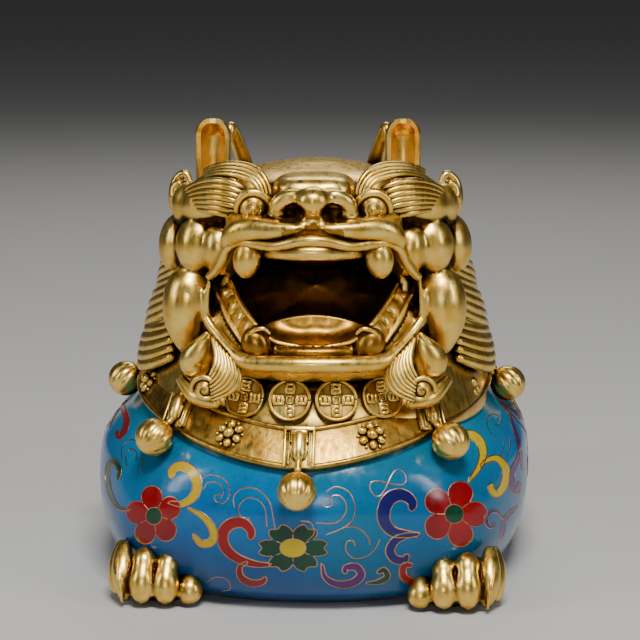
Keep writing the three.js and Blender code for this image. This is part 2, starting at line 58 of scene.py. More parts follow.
def curveAt(rows, share):
    # a smooth curve through evenly spaced rows
    count = len(rows) - 1
    place = min(max(share, 0), 1) * count
    i = min(int(place), count - 1)
    t = place - i
    first = np.asarray(rows[i], float)
    second = np.asarray(rows[i + 1], float)
    before = np.asarray(rows[i - 1], float) if i > 0 else 2 * first - second
    after = np.asarray(rows[i + 2], float) if i + 2 <= count else 2 * second - first
    b = second - before
    c = 2 * before - 5 * first + 4 * second - after
    d = 3 * first - before - 3 * second + after
    return 0.5 * (2 * first + b * t + c * t * t + d * t**3)


def gridForm(across, along, place, closed=True):
    form = bmesh.new()
    bmesh.ops.create_grid(form, x_segments=across, y_segments=along, size=0.5)
    for vert in form.verts:
        vert.co = place(vert.co.x + 0.5, vert.co.y + 0.5)
    if closed:
        bmesh.ops.remove_doubles(form, verts=form.verts, dist=1e-4)
        bmesh.ops.holes_fill(form, edges=form.edges, sides=0)
    return form


def egg(centre, radii, turn=(0, 0, 0), fine=28, power=1):
    form = bmesh.new()
    bmesh.ops.create_uvsphere(form, u_segments=fine, v_segments=fine // 2, radius=1)
    x, y, z = (math.radians(t) for t in turn)
    turned = Matrix.Rotation(z, 3, "Z") @ Matrix.Rotation(y, 3, "Y") @ Matrix.Rotation(x, 3, "X")
    for vert in form.verts:
        unit = [math.copysign(abs(v) ** power, v) for v in vert.co]
        vert.co = turned @ Vector([u * r for u, r in zip(unit, radii)]) + Vector(centre)
    return form


def sweep(path, radii, sides=10, steps=20, flatten=1, towards=(0, -1, 0)):
    # a round ended roll along a path
    samples = [Vector(curveAt(path, k / 40)) for k in range(41)]
    length = sum((b - a).length for a, b in zip(samples, samples[1:]))
    facing = Vector(towards)
    rings = []
    for k in range(steps + 1):
        v = k / steps
        share = 0.45 * v + 0.55 * (1 - math.cos(math.pi * v)) / 2
        centre = Vector(curveAt(path, share))
        tangent = (Vector(curveAt(path, share + 0.01)) - Vector(curveAt(path, share - 0.01))).normalized()
        across = tangent.cross(facing).normalized()
        outward = across.cross(tangent)
        radius = float(curveAt([(r,) for r in radii], share)[0])
        near = min(min(share, 1 - share) * length / max(radius, 1e-3), 1)
        radius *= math.sqrt(max(0, 1 - (1 - near) ** 2))
        rings.append((centre, across, outward, radius))

    def place(u, v):
        centre, across, outward, radius = rings[round(v * steps)]
        angle = 2 * math.pi * u
        return centre + across * (radius * math.cos(angle)) - outward * (radius * flatten * math.sin(angle))

    return gridForm(sides, steps, place)


def gathered(forms):
    whole = bmesh.new()
    for form in forms:
        passing = bpy.data.meshes.new("passing")
        bmesh.ops.recalc_face_normals(form, faces=form.faces)
        form.to_mesh(passing)
        form.free()
        whole.from_mesh(passing)
        bpy.data.meshes.remove(passing)
    return whole


def moved(form, matrix):
    bmesh.ops.transform(form, matrix=matrix, verts=form.verts)
    return form


def bothSides(make):
    forms = []
    for side in (1, -1):
        forms += make(side)
    return forms


def shown(name, form):
    mesh = bpy.data.meshes.new(name)
    form.to_mesh(mesh)
    form.free()
    thing = bpy.data.objects.new(name, mesh)
    bpy.context.scene.collection.objects.link(thing)
    return thing


def settled(thing):
    # the thing's modifiers applied, as a loose form; the thing itself goes
    bpy.context.view_layer.update()
    seenBy = bpy.context.evaluated_depsgraph_get()
    form = bmesh.new()
    form.from_mesh(thing.evaluated_get(seenBy).to_mesh())
    thing.evaluated_get(seenBy).to_mesh_clear()
    bpy.data.objects.remove(thing)
    return form


def clay(forms, voxel, rounds, cut=None):
    # presses forms into one skin, hollows it, and softens the seams
    thing = shown("clay", gathered(forms))
    merge = thing.modifiers.new("merge", "REMESH")
    merge.mode = "VOXEL"
    merge.voxel_size = voxel
    cutter = None
    if cut:
        cutter = shown("cutter", gathered(cut))
        hollow = thing.modifiers.new("hollow", "BOOLEAN")
        hollow.operation = "DIFFERENCE"
        hollow.solver = "MANIFOLD"
        hollow.object = cutter
        again = thing.modifiers.new("again", "REMESH")
        again.mode = "VOXEL"
        again.voxel_size = voxel
    soften = thing.modifiers.new("soften", "SMOOTH")
    soften.factor = 0.5
    soften.iterations = rounds
    form = settled(thing)
    if cutter:
        bpy.data.objects.remove(cutter)
    return form


def markHollows(mesh, rounds):
    # writes how deep each vertex lies below its surroundings, from 0 on ridges to 1 in creases
    count = len(mesh.vertices)
    places = np.empty(count * 3)
    mesh.vertices.foreach_get("co", places)
    places = places.reshape(count, 3) / mm
    normals = np.empty(count * 3)
    mesh.vertices.foreach_get("normal", normals)
    normals = normals.reshape(count, 3)
    edges = np.empty(len(mesh.edges) * 2, int)
    mesh.edges.foreach_get("vertices", edges)
    a, b = edges.reshape(-1, 2).T
    ends = np.concatenate([a, b])
    others = np.concatenate([b, a])
    degree = np.maximum(np.bincount(ends, minlength=count), 1)
    smooth = places.copy()
    depth = np.zeros(count)
    for turn in range(max(rounds)):
        for axis in range(3):
            smooth[:, axis] = np.bincount(ends, smooth[others, axis], count) / degree
        if turn + 1 in rounds:
            depth += ((smooth - places) * normals).sum(axis=1)
    for turn in range(2):
        depth = np.bincount(ends, depth[others], count) / degree
    mark = mesh.attributes.new("hollow", "FLOAT", "POINT")
    mark.data.foreach_set("value", np.clip(0.5 + depth, 0, 1).astype(np.float32))


def piece(name, form, material, node, sharp=None, hollows=None):
    bmesh.ops.scale(form, vec=(mm, mm, mm), verts=form.verts)
    bmesh.ops.recalc_face_normals(form, faces=form.faces)
    for face in form.faces:
        face.smooth = True
    thing = shown(name.replace(" ", "_"), form)
    if sharp:
        thing.data.set_sharp_from_angle(angle=math.radians(sharp))
    if hollows:
        markHollows(thing.data, hollows)
    thing.data.materials.append(material)
    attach(thing, "root")
    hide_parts(node)
    return thing


def cameraAxes():
    a = math.radians(camera["azimuth"])
    e = math.radians(camera["elevation"])
    back = Vector((math.sin(a) * math.cos(e), -math.cos(a) * math.cos(e), math.sin(e)))
    right = Vector((math.cos(a), math.sin(a), 0))
    up = Vector((-math.sin(a) * math.sin(e), math.cos(a) * math.sin(e), math.cos(e)))
    return Vector(camera["target"]) + back * camera["distance"], back, right, up


def sight(px, py):
    start, back, right, up = cameraAxes()
    way = -back + right * ((px - 320) / camera["focal"]) + up * ((320 - py) / camera["focal"])
    return start, way.normalized()


def facePlace(px, py, depth):
    # the place in the head's own frame at a depth along Y that lies under a point of the view
    start, way = sight(px, py)
    unturn = headTurn.inverted()
    start = unturn @ start
    way = unturn.to_3x3() @ way
    return start + way * ((depth - start.y) / way.y)


def half(px, py, depth):
    # the same place as a distance from the head's middle, for a form made on both sides
    at = facePlace(px, py, depth)
    return Vector((abs(at.x), at.y, at.z))


def sided(points, side):
    return [Vector((p[0] * side, p[1], p[2])) for p in points]


# A cord's radius as a share of the room that it has, so that neighbours run into each other.
cordOverlap = 0.62


def strands(top, bottom, count, side, radii, lift, sides=8, steps=18, towards=(0, -1, 0)):
    # cords laid side by side between two boundary curves, bulging in the middle
    forms = []
    for i in range(count):
        t = (i + 0.5) / count
        path = []
        widths = []
        for k in range(7):
            share = k / 6
            upper = Vector(curveAt(top, share))
            lower = Vector(curveAt(bottom, share))
            at = upper.lerp(lower, t) + Vector(towards) * (lift * math.sin(math.pi * t))
            path.append(at)
            girth = float(curveAt([(r,) for r in radii], share)[0])
            widths.append((upper - lower).length / count * cordOverlap * girth)
        facing = Vector((towards[0] * side, towards[1], towards[2]))
        forms.append(sweep(sided(path, side), widths, sides, steps, towards=facing))
    return forms


print("stage: materials")


def makeMaterial(name, metallic):
    material = bpy.data.materials.new(name)
    material.use_nodes = True
    nodes = material.node_tree.nodes
    shader = nodes["Principled BSDF"]
    shader.inputs["Metallic"].default_value = metallic
    return material, nodes, material.node_tree.links, shader


def noise(nodes, links, scale, octaves, stretch=None):
    place = nodes.new("ShaderNodeTexCoord")
    out = place.outputs["Object"]
    if stretch:
        mapping = nodes.new("ShaderNodeMapping")
        mapping.inputs["Scale"].default_value = stretch
        links.new(out, mapping.inputs["Vector"])
        out = mapping.outputs["Vector"]
    texture = nodes.new("ShaderNodeTexNoise")
    texture.inputs["Scale"].default_value = scale
    texture.inputs["Detail"].default_value = octaves
    links.new(out, texture.inputs["Vector"])
    return texture.outputs["Fac"]


def ramp(nodes, links, value, stops):
    made = nodes.new("ShaderNodeValToRGB")
    elements = made.color_ramp.elements
    while len(elements) < len(stops):
        elements.new(0.5)
    for element, (position, colour) in zip(elements, stops):
        element.position = position
        element.color = (*colour, 1) if len(colour) == 3 else colour
    links.new(value, made.inputs["Fac"])
    return made.outputs["Color"]


def mixed(nodes, links, share, first, second, way="MIX"):
    mix = nodes.new("ShaderNodeMix")
    mix.data_type = "RGBA"
    mix.blend_type = way
    for socket, value in ((mix.inputs[0], share), (mix.inputs[6], first), (mix.inputs[7], second)):
        if isinstance(value, bpy.types.NodeSocket):
            links.new(value, socket)
        else:
            socket.default_value = value if isinstance(value, float) else (*value, 1)
    return mix.outputs[2]


def grey(v):
    return (v, v, v)


def giltMaterial(name, look):
    material, nodes, links, shader = makeMaterial(name, 1.0)
    # painted shade with tarnish: creases found by ambient occlusion are darkened towards the tarnish colour
    hidden = nodes.new("ShaderNodeAmbientOcclusion")
    hidden.samples = 8
    hidden.inputs["Distance"].default_value = look["crevice"] * mm
    occlusionShade = ramp(nodes, links, hidden.outputs["AO"], [(look["dark"], grey(0)), (look["bright"], grey(1))])
    # painted shade: where marked, curvature deepens the darkening in creases
    marked = nodes.new("ShaderNodeAttribute")
    marked.attribute_name = "hollow"
    ridge = ramp(nodes, links, marked.outputs["Fac"], [(0.0, grey(1)), (0.55, grey(0.85)), (0.9, grey(0))])
    if look["marked"]:
        occlusionShade = mixed(nodes, links, 1.0, occlusionShade, ridge, "MULTIPLY")
    patches = noise(nodes, links, 260.0, 4.0)
    clouded = ramp(nodes, links, patches, [(0.35, grey(0)), (0.65, grey(1))])
    gold = mixed(nodes, links, clouded, look["deep"], look["light"])
    colour = mixed(nodes, links, occlusionShade, look["tarnishAndShade"], gold)
    links.new(colour, shader.inputs["Base Color"])
    grain = noise(nodes, links, 900.0, 5.0, look["brush"])
    rough = ramp(nodes, links, grain, [(0.3, grey(look["smooth"])), (0.7, grey(look["rough"]))])
    links.new(rough, shader.inputs["Roughness"])
    wear = noise(nodes, links, 700.0, 3.0)
    height = mixed(nodes, links, 0.35, grain, wear)
    bump = nodes.new("ShaderNodeBump")
    bump.inputs["Strength"].default_value = look["bump"]
    bump.inputs["Distance"].default_value = 0.12 * mm
    links.new(height, bump.inputs["Height"])
    links.new(bump.outputs["Normal"], shader.inputs["Normal"])
    return material


# The cast gilt: its two golds, the tarnish and painted shade in its creases, the creases' reach in
# millimetres, and its grain.
giltLook = {
    "light": (0.98, 0.69, 0.18),
    "deep": (0.84, 0.50, 0.075),
    "tarnishAndShade": (0.042, 0.014, 0.002),
    "crevice": 3.2,
    "dark": 0.22,
    "bright": 0.86,
    "brush": (1.0, 1.0, 0.12),
    "smooth": 0.24,
    "rough": 0.40,
    "bump": 0.35,
    "marked": False,
}
gilt = giltMaterial("gilt", giltLook)
giltCreaseShaded = giltMaterial("gilt crease shaded", {**giltLook, "marked": True})
# Two darker copies of the gilt that stand for painted shade: the deepest for the mouth's hollow and the
# nostrils, the other for the underside of the nose, the shaded teeth and the tongue.
deepShadeLook = {"light": (0.15, 0.065, 0.012), "deep": (0.09, 0.036, 0.006), "rough": 0.5}
shadeLook = {"light": (0.44, 0.23, 0.035), "deep": (0.27, 0.12, 0.014)}
brushedLook = {
    "light": (0.60, 0.36, 0.07),
    "deep": (0.34, 0.17, 0.022),
    "brush": (1.0, 1.0, 0.07),
    "rough": 0.46,
    "bump": 0.8,
}
wireLook = {
    "light": (0.62, 0.34, 0.20),
    "deep": (0.44, 0.21, 0.11),
    "tarnishAndShade": (0.20, 0.08, 0.04),
    "crevice": 0.5,
    "bump": 0.1,
}
giltDeepShade = giltMaterial("gilt deep shade", {**giltLook, **deepShadeLook})
giltShade = giltMaterial("gilt shade", {**giltLook, **shadeLook})
giltBrushed = giltMaterial("gilt brushed", {**giltLook, **brushedLook})
wireGilt = giltMaterial("wire", {**giltLook, **wireLook})

# Heights of the body, in metres, below and above which the enamel takes painted shade, darker at the foot and
# greener under the collar; and its gloss.
enamelLook = {
    "foot": 0.006,
    "shoulder": 0.040,
    "specular": 0.36,
    "coat": 0.06,
    "coatRough": 0.06,
    "bump": 0.25,
}


def enamelMaterial(name, deep, light, shade=None):
    # glassy fired enamel, cloudy from one cell to the next
    material, nodes, links, shader = makeMaterial(name, 0.0)
    clouds = noise(nodes, links, 55.0, 6.0)
    clouded = ramp(nodes, links, clouds, [(0.32, grey(0)), (0.68, grey(1))])
    colour = mixed(nodes, links, clouded, deep, light)
    if shade:
        place = nodes.new("ShaderNodeTexCoord")
        apart = nodes.new("ShaderNodeSeparateXYZ")
        links.new(place.outputs["Object"], apart.inputs["Vector"])
        level = nodes.new("ShaderNodeMapRange")
        level.inputs["From Min"].default_value = enamelLook["foot"]
        level.inputs["From Max"].default_value = enamelLook["shoulder"]
        links.new(apart.outputs["Z"], level.inputs["Value"])
        height = level.outputs["Result"]
        # painted shade: darker towards the foot, where the body curves under, and greener under the collar;
        # the pools are the enamel's own uneven colour
        below = ramp(nodes, links, height, [(0.0, grey(0.75)), (0.5, grey(0.15)), (1.0, grey(0))])
        above = ramp(nodes, links, height, [(0.62, grey(0)), (1.0, grey(0.7))])
        colour = mixed(nodes, links, below, colour, shade["low"])
        colour = mixed(nodes, links, above, colour, shade["high"])
        pools = ramp(nodes, links, noise(nodes, links, 24.0, 2.0), [(0.50, grey(0)), (0.66, grey(0.55))])
        colour = mixed(nodes, links, pools, colour, shade["pool"])
    specks = noise(nodes, links, 900.0, 3.0)
    speckled = ramp(nodes, links, specks, [(0.30, grey(0.35)), (0.42, grey(0))])
    colour = mixed(nodes, links, speckled, colour, tuple(c * 0.45 for c in deep))
    links.new(colour, shader.inputs["Base Color"])
    rough = ramp(nodes, links, noise(nodes, links, 420.0, 4.0), [(0.3, grey(0.10)), (0.7, grey(0.24))])
    links.new(rough, shader.inputs["Roughness"])
    shader.inputs["Specular IOR Level"].default_value = enamelLook["specular"]
    shader.inputs["Coat Weight"].default_value = enamelLook["coat"]
    shader.inputs["Coat Roughness"].default_value = enamelLook["coatRough"]
    bump = nodes.new("ShaderNodeBump")
    bump.inputs["Strength"].default_value = enamelLook["bump"]
    bump.inputs["Distance"].default_value = 0.1 * mm
    links.new(noise(nodes, links, 330.0, 3.0), bump.inputs["Height"])
    links.new(bump.outputs["Normal"], shader.inputs["Normal"])
    return material


turquoise = enamelMaterial(
    "turquoise enamel",
    (0.0025, 0.085, 0.27),
    (0.007, 0.19, 0.42),
    {"low": (0.002, 0.045, 0.18), "high": (0.005, 0.17, 0.22), "pool": (0.003, 0.12, 0.17)},
)
enamels = {
    "red": enamelMaterial("red enamel", (0.15, 0.002, 0.004), (0.34, 0.006, 0.009)),
    "green": enamelMaterial("green enamel", (0.002, 0.024, 0.010), (0.005, 0.060, 0.024)),
    "yellow": enamelMaterial("yellow enamel", (0.40, 0.25, 0.004), (0.62, 0.45, 0.012)),
    "navy": enamelMaterial("navy enamel", (0.008, 0.008, 0.085), (0.018, 0.018, 0.17)),
    "purple": enamelMaterial("purple enamel", (0.045, 0.004, 0.080), (0.10, 0.012, 0.16)),
}

print("stage: body")

# Sections of the body: height, half width, front and back.
bodySections = [
    (0, 43, -45, 50),
    (4, 47.6, -51.5, 56.5),
    (11, 50.8, -56, 61.5),
    (20, 52, -58, 64),
    (29, 51.4, -56.5, 64),
    (37, 48.9, -51.5, 61),
    (44, 45.6, -45, 57),
    (51, 41, -36, 50),
    (57, 33, -25, 41),
    (61, 21, -9, 29),
    (62.5, 5, 5, 16),
]
# Swellings over the legs, the same on both sides: centre, spread and push.
bodySwellings = [((37, -42, 13), 13, 2.2), ((47, 34, 20), 19, 2.4)]
# How far the shoulders draw in, as a share, and where: from foot to top, and fading from front to back.
shoulders = {"drawIn": 0.115, "foot": 29, "top": 40, "front": 8, "back": 36}
# Sections of the neck and crown: height, half width, front, back.
neckSections = [
    (26, 35, -42, 34),
    (38, 40.5, -49, 41),
    (46, 40, -46, 41),
    (55, 38, -41, 39.5),
    (64, 35.5, -38.5, 36.5),
    (73, 33, -37, 31.5),
    (81, 30, -36, 26.5),
    (88, 25.5, -33, 20),
    (94, 17, -25, 12),
    (96.5, 5, -12, 0),
]


def rounded(value, squareness=2.3):
    return math.copysign(abs(value) ** (2 / squareness), value)


def loftPoint(sections, share, angle, swellings=(), edge=1):
    height, wide, front, back = curveAt(sections, share)
    middle = (front + back) / 2
    at = Vector(
        (
            edge * rounded(math.sin(angle)) * wide,
            middle - edge * rounded(math.cos(angle)) * (back - front) / 2,
            height,
        )
    )
    if edge == 1 and share > 0.01:
        outward = Vector((at.x, at.y - middle, 0)).normalized()
        for centre, spread, push in swellings:
            away = (Vector((abs(at.x), at.y, at.z)) - Vector(centre)).length
            at += outward * push * math.exp(-((away / spread) ** 2))
    return at


def eased(value, low, high):
    t = min(max((value - low) / (high - low), 0), 1)
    return t * t * (3 - 2 * t)


def bodyPoint(share, angle):
    # above the forelegs the shoulders draw in
    at = loftPoint(bodySections, share, angle, bodySwellings)
    raised = eased(at.z, shoulders["foot"], shoulders["top"])
    ahead = 1 - eased(at.y, shoulders["front"], shoulders["back"])
    at.x *= 1 - shoulders["drawIn"] * raised * ahead
    return at


def shareAt(point, angle, height):
    low, high = 0.02, 0.999
    for i in range(22):
        middle = (low + high) / 2
        if point(middle, angle).z < height:
            low = middle
        else:
            high = middle
    return low


def loftForm(point, around, along, low=0.0, high=1.0):
    return gridForm(around, along, lambda u, v: point(low + (high - low) * v, 2 * math.pi * u))


body = loftForm(bodyPoint, 168, 84)
skin = BVHTree.FromBMesh(body)
piece("enamelled body", body, turquoise, "body", sharp=50)

print("stage: cloisons")

# The body's outline in the view, in pixels: a column inside it, a reach past it, and the margin drawn in.
viewEdge = {"middle": 318, "reach": 240, "margin": 9}
rowEdges = {}


def rowEdge(row, side):
    # where the body's outline crosses a row of the view
    if (row, side) not in rowEdges:
        inside = viewEdge["middle"]
        outside = inside + side * viewEdge["reach"]
        for i in range(14):
            middle = (inside + outside) / 2
            if skin.ray_cast(*sight(middle, row))[0] is None:
                outside = middle
            else:
                inside = middle
        rowEdges[(row, side)] = inside
    return rowEdges[(row, side)]


def frontView(x, y):
    # the point of the skin that the camera sees at a place of the view; the design is drawn in at the outline
    side = 1 if x > viewEdge["middle"] else -1
    row = math.floor(y)
    edge = rowEdge(row, side) + (rowEdge(row + 1, side) - rowEdge(row, side)) * (y - row)
    room = side * (edge - x)
    margin = viewEdge["margin"]
    if room < margin:
        x = edge - side * margin * math.exp(room / margin - 1)
    return skin.ray_cast(*sight(x, y))


def sideView(azimuth):
    # a point of the skin seen straight on from an azimuth, by millimetres across and up
    a = math.radians(azimuth)
    back = Vector((math.sin(a), -math.cos(a), 0))
    right = Vector((math.cos(a), math.sin(a), 0))

    def look(x, y):
        height = min(max(y, cloison["lowest"]), cloison["highest"])
        start = Vector((0, 4, height)) + back * 150 + right * x
        return skin.ray_cast(start, -back)

    return look


enamelForms = {name: [] for name in enamels}
wireForms = []
# The wire's radius, how far each thing lies proud of the skin, the leaf's thickness, and the sides' reach.
cloison = {
    "wire": 0.15,
    "wireLift": 0.02,
    "scrollLift": 0.03,
    "petalLift": 0.07,
    "coreLift": 0.10,
    "leaf": 0.3,
    "lowest": 3,
    "highest": 52,
}


def patch(look, colour, across, along, place, lift):
    # a thin leaf of colour let into the skin
    form = bmesh.new()
    bmesh.ops.create_grid(form, x_segments=across, y_segments=along, size=0.5)
    for vert in form.verts:
        at, normal = look(*place(vert.co.x + 0.5, vert.co.y + 0.5))[:2]
        vert.co = at + normal * lift
    bmesh.ops.remove_doubles(form, verts=form.verts, dist=1e-4)
    rim = [edge for edge in form.edges if edge.is_boundary]
    tops = list(form.verts)
    copied = bmesh.ops.duplicate(form, geom=list(form.verts) + list(form.edges) + list(form.faces))
    below = copied["vert_map"]
    for vert in tops:
        below[vert].co = vert.co - skin.find_nearest(vert.co)[1] * cloison["leaf"]
    for edge in rim:
        a, b = edge.verts
        form.faces.new((a, b, below[b], below[a]))
    bmesh.ops.recalc_face_normals(form, faces=form.faces)
    enamelForms[colour].append(form)


def wire(look, points, closed=False):
    # a drawn wire laid flush along a line of the design
    if closed:
        points = points + points[:1]
    placed = []
    for x, y in points:
        at, normal = look(x, y)[:2]
        placed.append((at + normal * cloison["wireLift"], normal))
    sides = 5

    def place(u, v):
        k = round(v * (len(placed) - 1))
        at, normal = placed[k]
        ahead = placed[min(k + 1, len(placed) - 1)][0] - placed[max(k - 1, 0)][0]
        across = ahead.normalized().cross(normal).normalized()
        angle = 2 * math.pi * u
        return at + (across * math.cos(angle) + normal * (0.6 * math.sin(angle))) * cloison["wire"]

    wireForms.append(gridForm(sides, len(placed) - 1, place))


# A petal's outline as shares of the flower's size: the valley between petals, and where a notch starts.
petal = {"valley": 0.52, "round": 0.55, "notch": 0.86}


def petals(look, centre, size, count, colour, core, coreSize, heart=0.0, turn=0.0, squash=1.0):
    # a flower of round petals; a heart share notches each petal's tip
    def radius(angle):
        wave = abs(math.cos((angle - turn) * count / 2))
        notch = heart * max(0, wave - petal["notch"]) / (1 - petal["notch"])
        return size * (petal["valley"] + (1 - petal["valley"]) * wave ** petal["round"] - notch)

    def at(angle, share):
        r = radius(angle) * share
        return centre[0] + r * math.cos(angle), centre[1] + r * squash * math.sin(angle)

    def inner(angle, share):
        r = size * coreSize * share
        return centre[0] + r * math.cos(angle), centre[1] + r * squash * math.sin(angle)

    patch(look, colour, 60, 6, lambda u, v: at(2 * math.pi * u, 0.02 + 0.98 * v), cloison["petalLift"])
    wire(look, [at(2 * math.pi * k / 90, 1) for k in range(90)], True)
    valley = coreSize / petal["valley"]
    for k in range(count):
        split = turn + (k + 0.5) * 2 * math.pi / count
        wire(look, [at(split, valley + (1 - valley) * j / 4) for j in range(5)])
    patch(look, core, 24, 3, lambda u, v: inner(2 * math.pi * u, 0.02 + 0.98 * v), cloison["coreLift"])
    wire(look, [inner(2 * math.pi * k / 30, 1) for k in range(30)], True)


# A brush stroke's width along its length: the tail's share of it, and where the round end starts.
brush = {"steps": 44, "tail": 0.25, "belly": 1.15, "end": 0.93}
strokeShares = [k / brush["steps"] for k in range(brush["steps"] + 1)]


def stroke(look, points, colour, width):
    # a brush stroke of colour in a wire outline: a thin tail, a full belly and a rounded, curled end
    def edge(share, side):
        ahead = curveAt(points, min(share + 0.01, 1)) - curveAt(points, max(share - 0.01, 0))
        full = brush["tail"] + (1 - brush["tail"]) * math.sin(math.pi * (share / brush["belly"]) ** 0.9)
        past = max(0, share - brush["end"]) / (1 - brush["end"])
        cap = math.sqrt(max(0, 1 - past**2))
        away = np.array((-ahead[1], ahead[0])) / (math.hypot(*ahead) or 1)
        return tuple(curveAt(points, share) + away * side * width * full * cap / 2)

    patch(look, colour, 3, brush["steps"], lambda u, v: edge(v, 2 * u - 1), cloison["scrollLift"])
    out = [edge(k, 1) for k in strokeShares]
    home = [edge(k, -1) for k in reversed(strokeShares)]
    wire(look, out + home[1:-1], True)


def tendril(look, points):
    # a single wire along a smooth curve
    wire(look, [tuple(curveAt(points, k)) for k in strokeShares])


# Flowers and scrolls of the front, in pixels of the view, since they are drawn as the camera sees them.
redFlower = {"count": 5, "colour": "red", "core": "green", "coreSize": 0.28}
greenFlower = {"count": 6, "colour": "green", "core": "yellow", "heart": 0.16}
frontFlowers = [
    {**redFlower, "centre": (154, 516), "size": 28, "turn": -1.69, "squash": 1.08},
    {**redFlower, "centre": (454, 514), "size": 33, "turn": -1.26, "squash": 1.02},
    {**greenFlower, "centre": (293, 548), "size": 37, "coreSize": 0.35, "squash": 0.70},
]
for flower in frontFlowers:
    petals(frontView, **flower)

# Each scroll from its tail to its curled end: colour, width, points.
frontScrolls = [
    ("red", 6, [(106, 428), (108, 412), (118, 406), (126, 416), (125, 429), (119, 437), (116, 430)]),
    ("green", 6, [(131, 510), (118, 507), (109, 490), (107, 472), (112, 461), (119, 468), (118, 481)]),
    ("yellow", 10, [(168, 502), (182, 504), (194, 496), (197, 483), (191, 471), (181, 466), (172, 471),
                    (172, 479)]),
    ("yellow", 8, [(188, 508), (202, 516), (211, 526), (214, 536), (209, 543), (200, 543), (193, 534)]),
    ("red", 11, [(272, 565), (255, 564), (237, 558), (225, 547), (223, 533), (231, 524), (243, 523),
                 (251, 531), (250, 540)]),
    ("red", 7, [(248, 562), (240, 567), (241, 577), (251, 583), (262, 582), (266, 577)]),
    ("navy", 13, [(420, 535), (405, 534), (392, 531), (384, 520), (385, 506), (392, 497), (403, 495),
                  (412, 502), (411, 511)]),
    ("navy", 9, [(420, 534), (406, 536), (395, 541), (390, 551), (395, 559), (404, 560), (408, 554)]),
    ("yellow", 9, [(468, 482), (478, 469), (483, 455), (480, 442), (471, 435), (462, 438), (460, 447),
                   (464, 453)]),
    ("yellow", 8, [(480, 467), (488, 460), (498, 459), (506, 470), (504, 485), (497, 494), (491, 489),
                   (492, 483)]),
    ("purple", 6, [(519, 452), (517, 460), (513, 470), (512, 483), (515, 492), (519, 488), (519, 481)]),
    ("purple", 4, [(510, 414), (514, 428), (518, 440), (521, 456), (523, 470)]),
    ("purple", 8, [(322, 563), (325, 577), (337, 584), (352, 583), (361, 575), (356, 567), (346, 568),
                   (345, 574)]),
    ("navy", 5, [(519, 505), (511, 512), (504, 521), (502, 533), (500, 541)]),
    ("navy", 4, [(503, 520), (498, 512), (490, 512), (486, 520), (490, 527), (496, 523)]),
    ("green", 6, [(366, 583), (378, 582), (387, 577), (384, 570), (377, 573)]),
    ("red", 6, [(136, 572), (148, 577), (160, 573), (161, 563), (152, 562)]),
    ("red", 7, [(428, 578), (416, 582), (404, 577), (404, 566), (413, 565)]),
]
for colour, width, points in frontScrolls:
    stroke(frontView, points, colour, width)

frontTendrils = [
    [(122, 459), (122, 447), (130, 440), (139, 443), (142, 454), (140, 474)],
    [(127, 468), (126, 456), (130, 449), (136, 452), (136, 460)],
    [(197, 494), (200, 481), (211, 475), (225, 480), (230, 492), (225, 503), (216, 502), (215, 496),
     (221, 494)],
    [(203, 490), (208, 483), (218, 483), (224, 491), (221, 499)],
    [(234, 508), (234, 496), (244, 488), (258, 490), (269, 501), (273, 516), (275, 529)],
    [(250, 519), (241, 517), (239, 506), (247, 498), (258, 500), (265, 509), (267, 527)],
    [(301, 521), (311, 523), (314, 533), (307, 541)],
    [(326, 492), (336, 487), (349, 492), (355, 506), (352, 520), (343, 528), (326, 535)],
    [(316, 523), (335, 523), (345, 514), (346, 504), (340, 496), (331, 497), (332, 505), (325, 507),
     (322, 500)],
    [(343, 527), (358, 528), (368, 537), (370, 545)],
    [(355, 546), (353, 541), (347, 542), (346, 550), (353, 558), (365, 557), (375, 549), (380, 539)],
    [(497, 439), (489, 430), (487, 420), (492, 414), (500, 417), (499, 424), (494, 425)],
    [(500, 457), (504, 447), (505, 437)],
    [(506, 458), (510, 448), (510, 438)],
    [(436, 572), (446, 566), (458, 568), (462, 577), (455, 582)],
    [(206, 583), (216, 577), (228, 580), (230, 589), (222, 591)],
]
for points in frontTendrils:
    tendril(frontView, points)

# One loop of wire crosses itself, leaning up to the right.
loop = {"centre": (388, 483), "half": 19, "high": 8, "lean": math.radians(-27)}


def loopPoint(turn):
    x = loop["half"] * math.sin(turn)
    y = loop["high"] * math.sin(2 * turn)
    lean = loop["lean"]
    return (
        loop["centre"][0] + x * math.cos(lean) - y * math.sin(lean),
        loop["centre"][1] + x * math.sin(lean) + y * math.cos(lean),
    )


wire(frontView, [loopPoint(t) for t in np.linspace(0, 2 * math.pi, 48)])

# The sides and back carry the same flowers and scrolls, spaced wider: azimuth, place, flower.
sideFlowers = [
    (97, (0, 21), "red"),
    (127, (0, 25), "green"),
    (155, (0, 20), "red"),
    (205, (0, 20), "green"),
    (233, (0, 25), "red"),
    (263, (0, 21), "green"),
]
# On the sides and back lengths are in millimetres: flowers, scrolls round them and wires beside those.
flowerKinds = {
    "red": {**redFlower, "size": 7.0, "turn": 1.57},
    "green": {**greenFlower, "size": 7.6, "coreSize": 0.34, "squash": 0.8},
}
sideScroll = {"lean": 38, "step": 7, "across": 8.2, "up": 7.4, "size": 7.0, "width": 1.9}
sideTendril = {"turn": 0.75, "across": 10.5, "up": 9.0, "lean": 0.6, "size": 4.8}
scrollShape = [
    (0.0, 0.0),
    (0.55, 0.12),
    (0.98, -0.1),
    (1.12, -0.52),
    (0.88, -0.88),
    (0.5, -0.86),
    (0.4, -0.56),
]
spiralShape = [
    (0.0, 0.0),
    (0.6, 0.25),
    (1.1, 0.0),
    (1.2, -0.45),
    (0.85, -0.75),
    (0.5, -0.6),
    (0.55, -0.3),
    (0.8, -0.3),
]
# The order in which the scrolls round a flower take their colours.
sideColours = ["yellow", "red", "navy", "purple", "green"]


def laid(shape, start, lean, size, flip):
    # a shape of unit size set down at a place, turned and flipped
    c = math.cos(lean) * size
    k = math.sin(lean) * size
    return [(start[0] + x * c - y * flip * k, start[1] + x * k + y * flip * c) for x, y in shape]


def beside(centre, turn, spread):
    # a place beside a flower
    return centre[0] + spread["across"] * math.cos(turn), centre[1] + spread["up"] * math.sin(turn)


